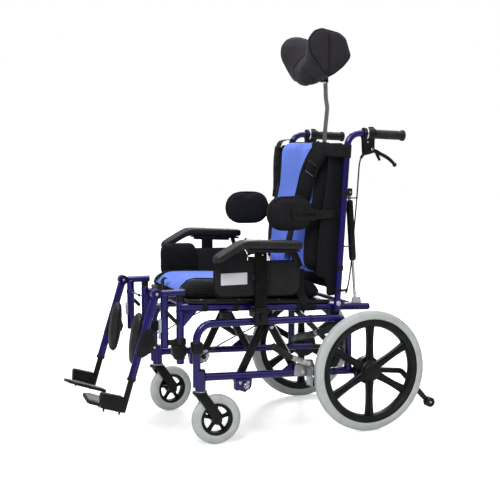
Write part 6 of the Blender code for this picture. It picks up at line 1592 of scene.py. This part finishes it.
def shoulder_straps(tree):
    left = ((0.120, 0.790), (0.098, 0.760), (0.070, 0.725), (0.050, 0.695), (0.038, 0.660), (0.030, 0.620),
            (0.030, 0.575))
    right = ((-0.181, 0.948), (-0.186, 0.910), (-0.184, 0.870), (-0.176, 0.830), (-0.164, 0.795), (-0.154, 0.755),
             (-0.148, 0.710), (-0.146, 0.650), (-0.146, 0.600), (-0.146, 0.560))
    shapes = [laid_strap(tree, left, 0.045, 0.0020, 0.0008, WEB)]
    route = smooth_path([(0.196, -0.136, 0.950), (0.186, -0.152, 0.930), (0.168, -0.167, 0.892),
                         (0.150, -0.175, 0.850), (0.132, -0.179, 0.800), (0.104, -0.180, 0.756),
                         (0.068, -0.183, 0.722)], 6)
    face = Vector((0.62, -0.76, -0.08)).normalized()
    shapes += [sweep(route, [(-0.0300, 0), (-0.0285, -0.0035), (-0.010, -0.0045), (0.010, -0.0045), (0.0285, -0.0035),
                             (0.0300, 0), (0.0285, 0.0035), (0.010, 0.0045), (-0.010, 0.0045), (-0.0285, 0.0035)],
                     CLOTH, up=lambda p: face),
               webbing([p + face * 0.0052 for p in route], 0.040, 0.0022, WEB, lambda p: face)]
    slider, run = route[14] + face * 0.0085, (route[15] - route[13]).normalized()
    across = run.cross(face).normalized()
    for a in (-0.015, 0.0, 0.015):
        shapes.append(bar(slider + run * a - across * 0.026, slider + run * a + across * 0.026, 0.0055, 0.0050, BLACK,
                          0.0012))
    for hand in (1, -1):
        side_bar = slider + across * (hand * 0.0245)
        shapes += [bar(side_bar - run * 0.0170, side_bar + run * 0.0170, 0.0045, 0.0050, BLACK, 0.0012),
                   bar(slider + run * (hand * 0.0180) - across * 0.0235 + face * 0.001, slider + run * (hand * 0.0180)
                       + across * 0.0235 + face * 0.001, 0.0016, 0.0016, CHROME, 0.0003)]
    end = (0.030, back_skin_y(0.575, 1.06) - 0.002, 0.570)
    shapes += bail(end, 0.020, 0.007, 0.0017, BLACK, (1, 0, 0), (0, 0, 1), True)
    post = Vector((POST_X, post_y(0.935), 0.935))
    rise = Vector((0, POST_LEAN, 1)).normalized()
    shapes += [band(post, rise, 0.0112, 0.0145, 0.0225, WEB, 28),
               webbing(smooth_path([(0.232, -0.068, 0.937), (0.232, -0.088, 0.937), (0.224, -0.112, 0.938),
                                    (0.212, -0.132, 0.941), (0.196, -0.147, 0.944), (0.176, -0.1555, 0.945),
                                    (0.160, -0.1580, 0.940)], 5), 0.042, 0.0030, WEB,
                       lambda p: Vector((0.75 - 4 * max(0, 0.212 - p.x) * 2, -0.65 - 2 * max(0, 0.212 - p.x), 0.0)))]
    for k in range(6):
        y = -0.074 - 0.0068 * k
        shapes.append(webbing([(0.2345 - 0.0020 * k, y, 0.936), (0.2350 - 0.0022 * k, y - 0.0022, 0.936),
                               (0.2325 - 0.0022 * k, y - 0.0050, 0.936)], 0.0400, 0.0058, WEB,
                              lambda p: Vector((0.85, -0.5, 0))))
    piece("shoulder_strap_left", shapes, "back", ["harness_strap_left"], angle=60)

    shapes = [laid_strap(tree, right, 0.045, 0.0040, 0.0016, WEB)]
    over = [(-0.181, back_skin_y(0.955, 0.97) - 0.004, 0.946), (-0.180, back_skin_y(0.968, 0.80) - 0.004, 0.9670),
            (-0.178, back_skin_y(0.972, 0.45), 0.9745), (-0.176, back_skin_y(0.972, 0.05), 0.9740),
            (-0.175, -0.0830, 0.9690), (-0.175, -0.0700, 0.9560), (-0.175, -0.0610, 0.9420)]
    middle = Vector((-0.187, back_skin_y(0.905, 1.05) - 0.006, 0.905))
    for a in (-0.016, 0.0, 0.016):
        shapes.append(bar(middle + Vector((-0.0255, 0, a)), middle + Vector((0.0255, 0, a)), 0.0055, 0.0050, BLACK,
                          0.0012))
    for a in (-0.019, 0.019):
        shapes.append(bar(middle + Vector((-0.0250, -0.001, a)), middle + Vector((0.0250, -0.001, a)), 0.0016, 0.0016,
                          CHROME, 0.0003))
    shapes.append(webbing(smooth_path(over, 5), 0.045, 0.0022, WEB,
                          lambda p: Vector((0, p.y + 0.105, p.z - 0.925))))
    end = (-0.146, back_skin_y(0.558, 1.06) - 0.002, 0.553)
    shapes += bail(end, 0.020, 0.007, 0.0017, BLACK, (1, 0, 0), (0, 0, 1), True)
    piece("shoulder_strap_right", shapes, "back", ["harness_strap_right"], angle=60)


def lap_strap():
    shapes = []
    for s in (1, -1):
        x = s * 0.2095
        path = smooth_path([(s * 0.2160, -0.205, 0.4300), (s * 0.2150, -0.222, 0.455), (x, -0.232, 0.485),
                            (x, -0.231, 0.520), (x, -0.229, 0.549)], 6)
        shapes.append(webbing(path, 0.030, 0.0022, WEB, (1, 0, 0)))
        shapes += bail((x, -0.2295, 0.553), 0.0165, 0.006, 0.0017, BLACK, (0, 1, 0), (0, 0, 1))
        upper = smooth_path([(x, -0.231, 0.557), (x, -0.238, 0.575), (x, -0.250, 0.597), (x, -0.262, 0.612)], 6)
        shapes.append(webbing(upper, 0.026, 0.0022, WEB, (1, 0, 0)))
        shapes += bail((x, -0.233, 0.487), 0.0170, 0.005, 0.0016, BLACK, (0, 1, 0.1), (0, -0.1, 1), True)
        shapes.append(band((s * RAIL_X, -0.205, rail_z(-0.205)), (0, 1, -SEAT_FALL), 0.0126, 0.0148, 0.015, WEB))
    pommel = smooth_path([(0, -0.6235, 0.5130), (0, -0.6310, 0.5120), (0, -0.6355, 0.5060), (0, -0.6362, 0.4900),
                          (0, -0.6345, 0.4700), (0, -0.6260, 0.4570), (0, -0.6130, 0.4500)], 5)
    shapes.append(webbing(pommel, 0.026, 0.0030, WEB, lambda p: Vector((0, p.y + 0.600, p.z - 0.480))))
    shapes.append(block((-0.016, -0.6385, 0.4935), (0.016, -0.6345, 0.5050), BLACK, 0.0012))
    piece("lap_strap", shapes, "seat", angle=60)


def brake_cable(side, s):
    x = s * POST_X
    route = [(x, -0.0145, 0.9112), (x + s * 0.003, -0.021, 0.890), (x + s * 0.008, -0.027, 0.850),
             (x + s * 0.012, -0.034, 0.780), (x + s * 0.014, -0.042, 0.700), (x + s * 0.014, -0.049, 0.620),
             (x + s * 0.013, -0.055, 0.550), (x + s * 0.0125, -0.062, 0.500), (x + s * 0.0125, -0.070, 0.470)]
    shapes = [sweep(smooth_path(route, 5), disc_ring(0.0025, 14), CABLE),
              cylinder(0.0038, (x + s * 0.0125, -0.0675, 0.4795), (x + s * 0.0125, -0.0715, 0.4650), BLACK, 0.0008),
              cylinder(0.0024, (x + s * 0.0125, -0.0712, 0.4660), (x + s * 0.0125, -0.0728, 0.4600), CHROME, 0.0005),
              band((x, post_y(0.473), 0.473), (0, POST_LEAN, 1), 0.0110, 0.0130, 0.0050, BLACK),
              block((x + s * 0.0045, post_y(0.473) + 0.004, 0.4690), (x + s * 0.0145, -0.0680, 0.4770), BLACK, 0.002)]
    for z, y, out in ((0.780, -0.034, 0.012), (0.620, -0.049, 0.014)):
        shapes.append(band((x + s * out, y, z), (0, 0.1, 1), 0.0025, 0.0037, 0.0025, BLACK, 16))
        shapes.append(block((x + s * 0.0035, post_y(z) + 0.006, z - 0.0022), (x + s * (out - 0.001), y - 0.0005,
                                                                             z + 0.0022), BLACK, 0.0008))
    piece("brake_cable_piece_" + side, shapes, "back", ["brake_cable_" + side])


# ---------------------------------------------------------------- the whole chair

for side, s in SIDES:
    base_side(side, s)
    casters(side, s)
    rear_wheels(side, s)
    anti_tip(side, s)
    wheel_lock(side, s)
    struts(side, s)
    push_handle(side, s)
    gas_springs(side, s)
    armrest_hardware(side, s)
    arm_pads(side, s)
    guards(side, s)
    side_supports(side, s)
    leg_rest(side, s)
    calf_pads(side, s)
    brake_cable(side, s)
cross_bars()
seat_rails()
seat_deck()
seat_pad()
back_posts()
back_shell()
shoulder_straps(back_pad())
back_side_covers()
lap_strap()
headrest_hardware()
head_pad()


# ---------------------------------------------------------------- studio

def studio():
    """White floor and surroundings, three soft lamps and the photograph's camera."""
    reach, floor_mesh = 14, bpy.data.meshes.new("floor")
    floor_mesh.from_pydata([(-reach, -reach, 0), (reach, -reach, 0), (reach, reach, 0), (-reach, reach, 0)], [],
                           [(0, 1, 2, 3)])
    floor = placed("floor", floor_mesh)
    ground = Shader("studio_floor", (0.80, 0.80, 0.80), 0.35)
    ground.rough(ground.noise(3, 2), 0.30, 0.42)
    output = next(n for n in ground.tree.nodes if n.type == "OUTPUT_MATERIAL")
    glow, add = ground.node("ShaderNodeEmission"), ground.node("ShaderNodeAddShader")
    glow.inputs["Color"].default_value = (1, 1, 1, 1)
    distance = ground.node("ShaderNodeVectorMath", operation="LENGTH")
    ground.link(ground.coords, distance.inputs[0])
    fade = ground.spread(distance.outputs["Value"], 0.47, 1.0, 0.8, 2.2)
    camera_ray = ground.node("ShaderNodeLightPath").outputs["Is Camera Ray"]
    ground.link(ground.math("MULTIPLY", camera_ray, fade), glow.inputs["Strength"])
    ground.link(ground.bsdf.outputs[0], add.inputs[0])
    ground.link(glow.outputs[0], add.inputs[1])
    ground.link(add.outputs[0], output.inputs["Surface"])
    floor_mesh.materials.append(ground.material)

    world = bpy.data.worlds.new("studio")
    bpy.context.scene.world = world
    world.use_nodes = True
    sky = Nodes(world.node_tree)
    background = sky.tree.nodes["Background"]
    background.inputs["Color"].default_value = (1, 1, 1, 1)
    ray = sky.node("ShaderNodeLightPath").outputs
    seen = sky.math("MAXIMUM", ray["Is Camera Ray"], ray["Is Transmission Ray"])
    split = sky.node("ShaderNodeSeparateXYZ")
    sky.link(sky.node("ShaderNodeTexCoord").outputs["Generated"], split.inputs[0])
    mirrored = sky.node("ShaderNodeMix")
    sky.link(ray["Is Glossy Ray"], mirrored.inputs[0])
    sky.link(sky.spread(seen, 0.42, 1.0, 0.0, 1.0), mirrored.inputs[2])
    sky.link(sky.spread(split.outputs["Z"], 0.30, 1.50, 0.30, 0.75), mirrored.inputs[3])
    sky.link(mirrored.outputs[0], background.inputs["Strength"])

    def lamp(name, where, target, size, power):
        light = bpy.data.lights.new(name, "AREA")
        light.shape, light.size, light.energy = "DISK", size, power
        made = placed(name, light)
        made.location = where
        made.rotation_euler = (Vector(target) - Vector(where)).to_track_quat("-Z", "Y").to_euler()

    lamp("key", (2.2, -1.8, 3.2), (0, 0, 0.6), 1.6, 95)
    lamp("top", (-0.6, 0.4, 3.6), (0, 0, 0.5), 2.2, 70)
    lamp("rim", (-2.6, 1.6, 2.0), (0, 0, 0.7), 1.4, 50)

    focal_pixels, photo_width, sensor = 1069.7, 500, 36
    camera_data = bpy.data.cameras.new("camera")
    camera_data.sensor_width, camera_data.clip_end = sensor, 50
    camera_data.lens = focal_pixels / photo_width * sensor
    camera = placed("camera", camera_data)
    camera.location = (3.394, -1.698 + SHIFT, 0.954)
    camera.rotation_euler = (math.radians(85), 0, math.radians(67.92))
    bpy.context.scene.camera = camera
    bpy.context.scene.view_settings.view_transform = "Standard"


studio()
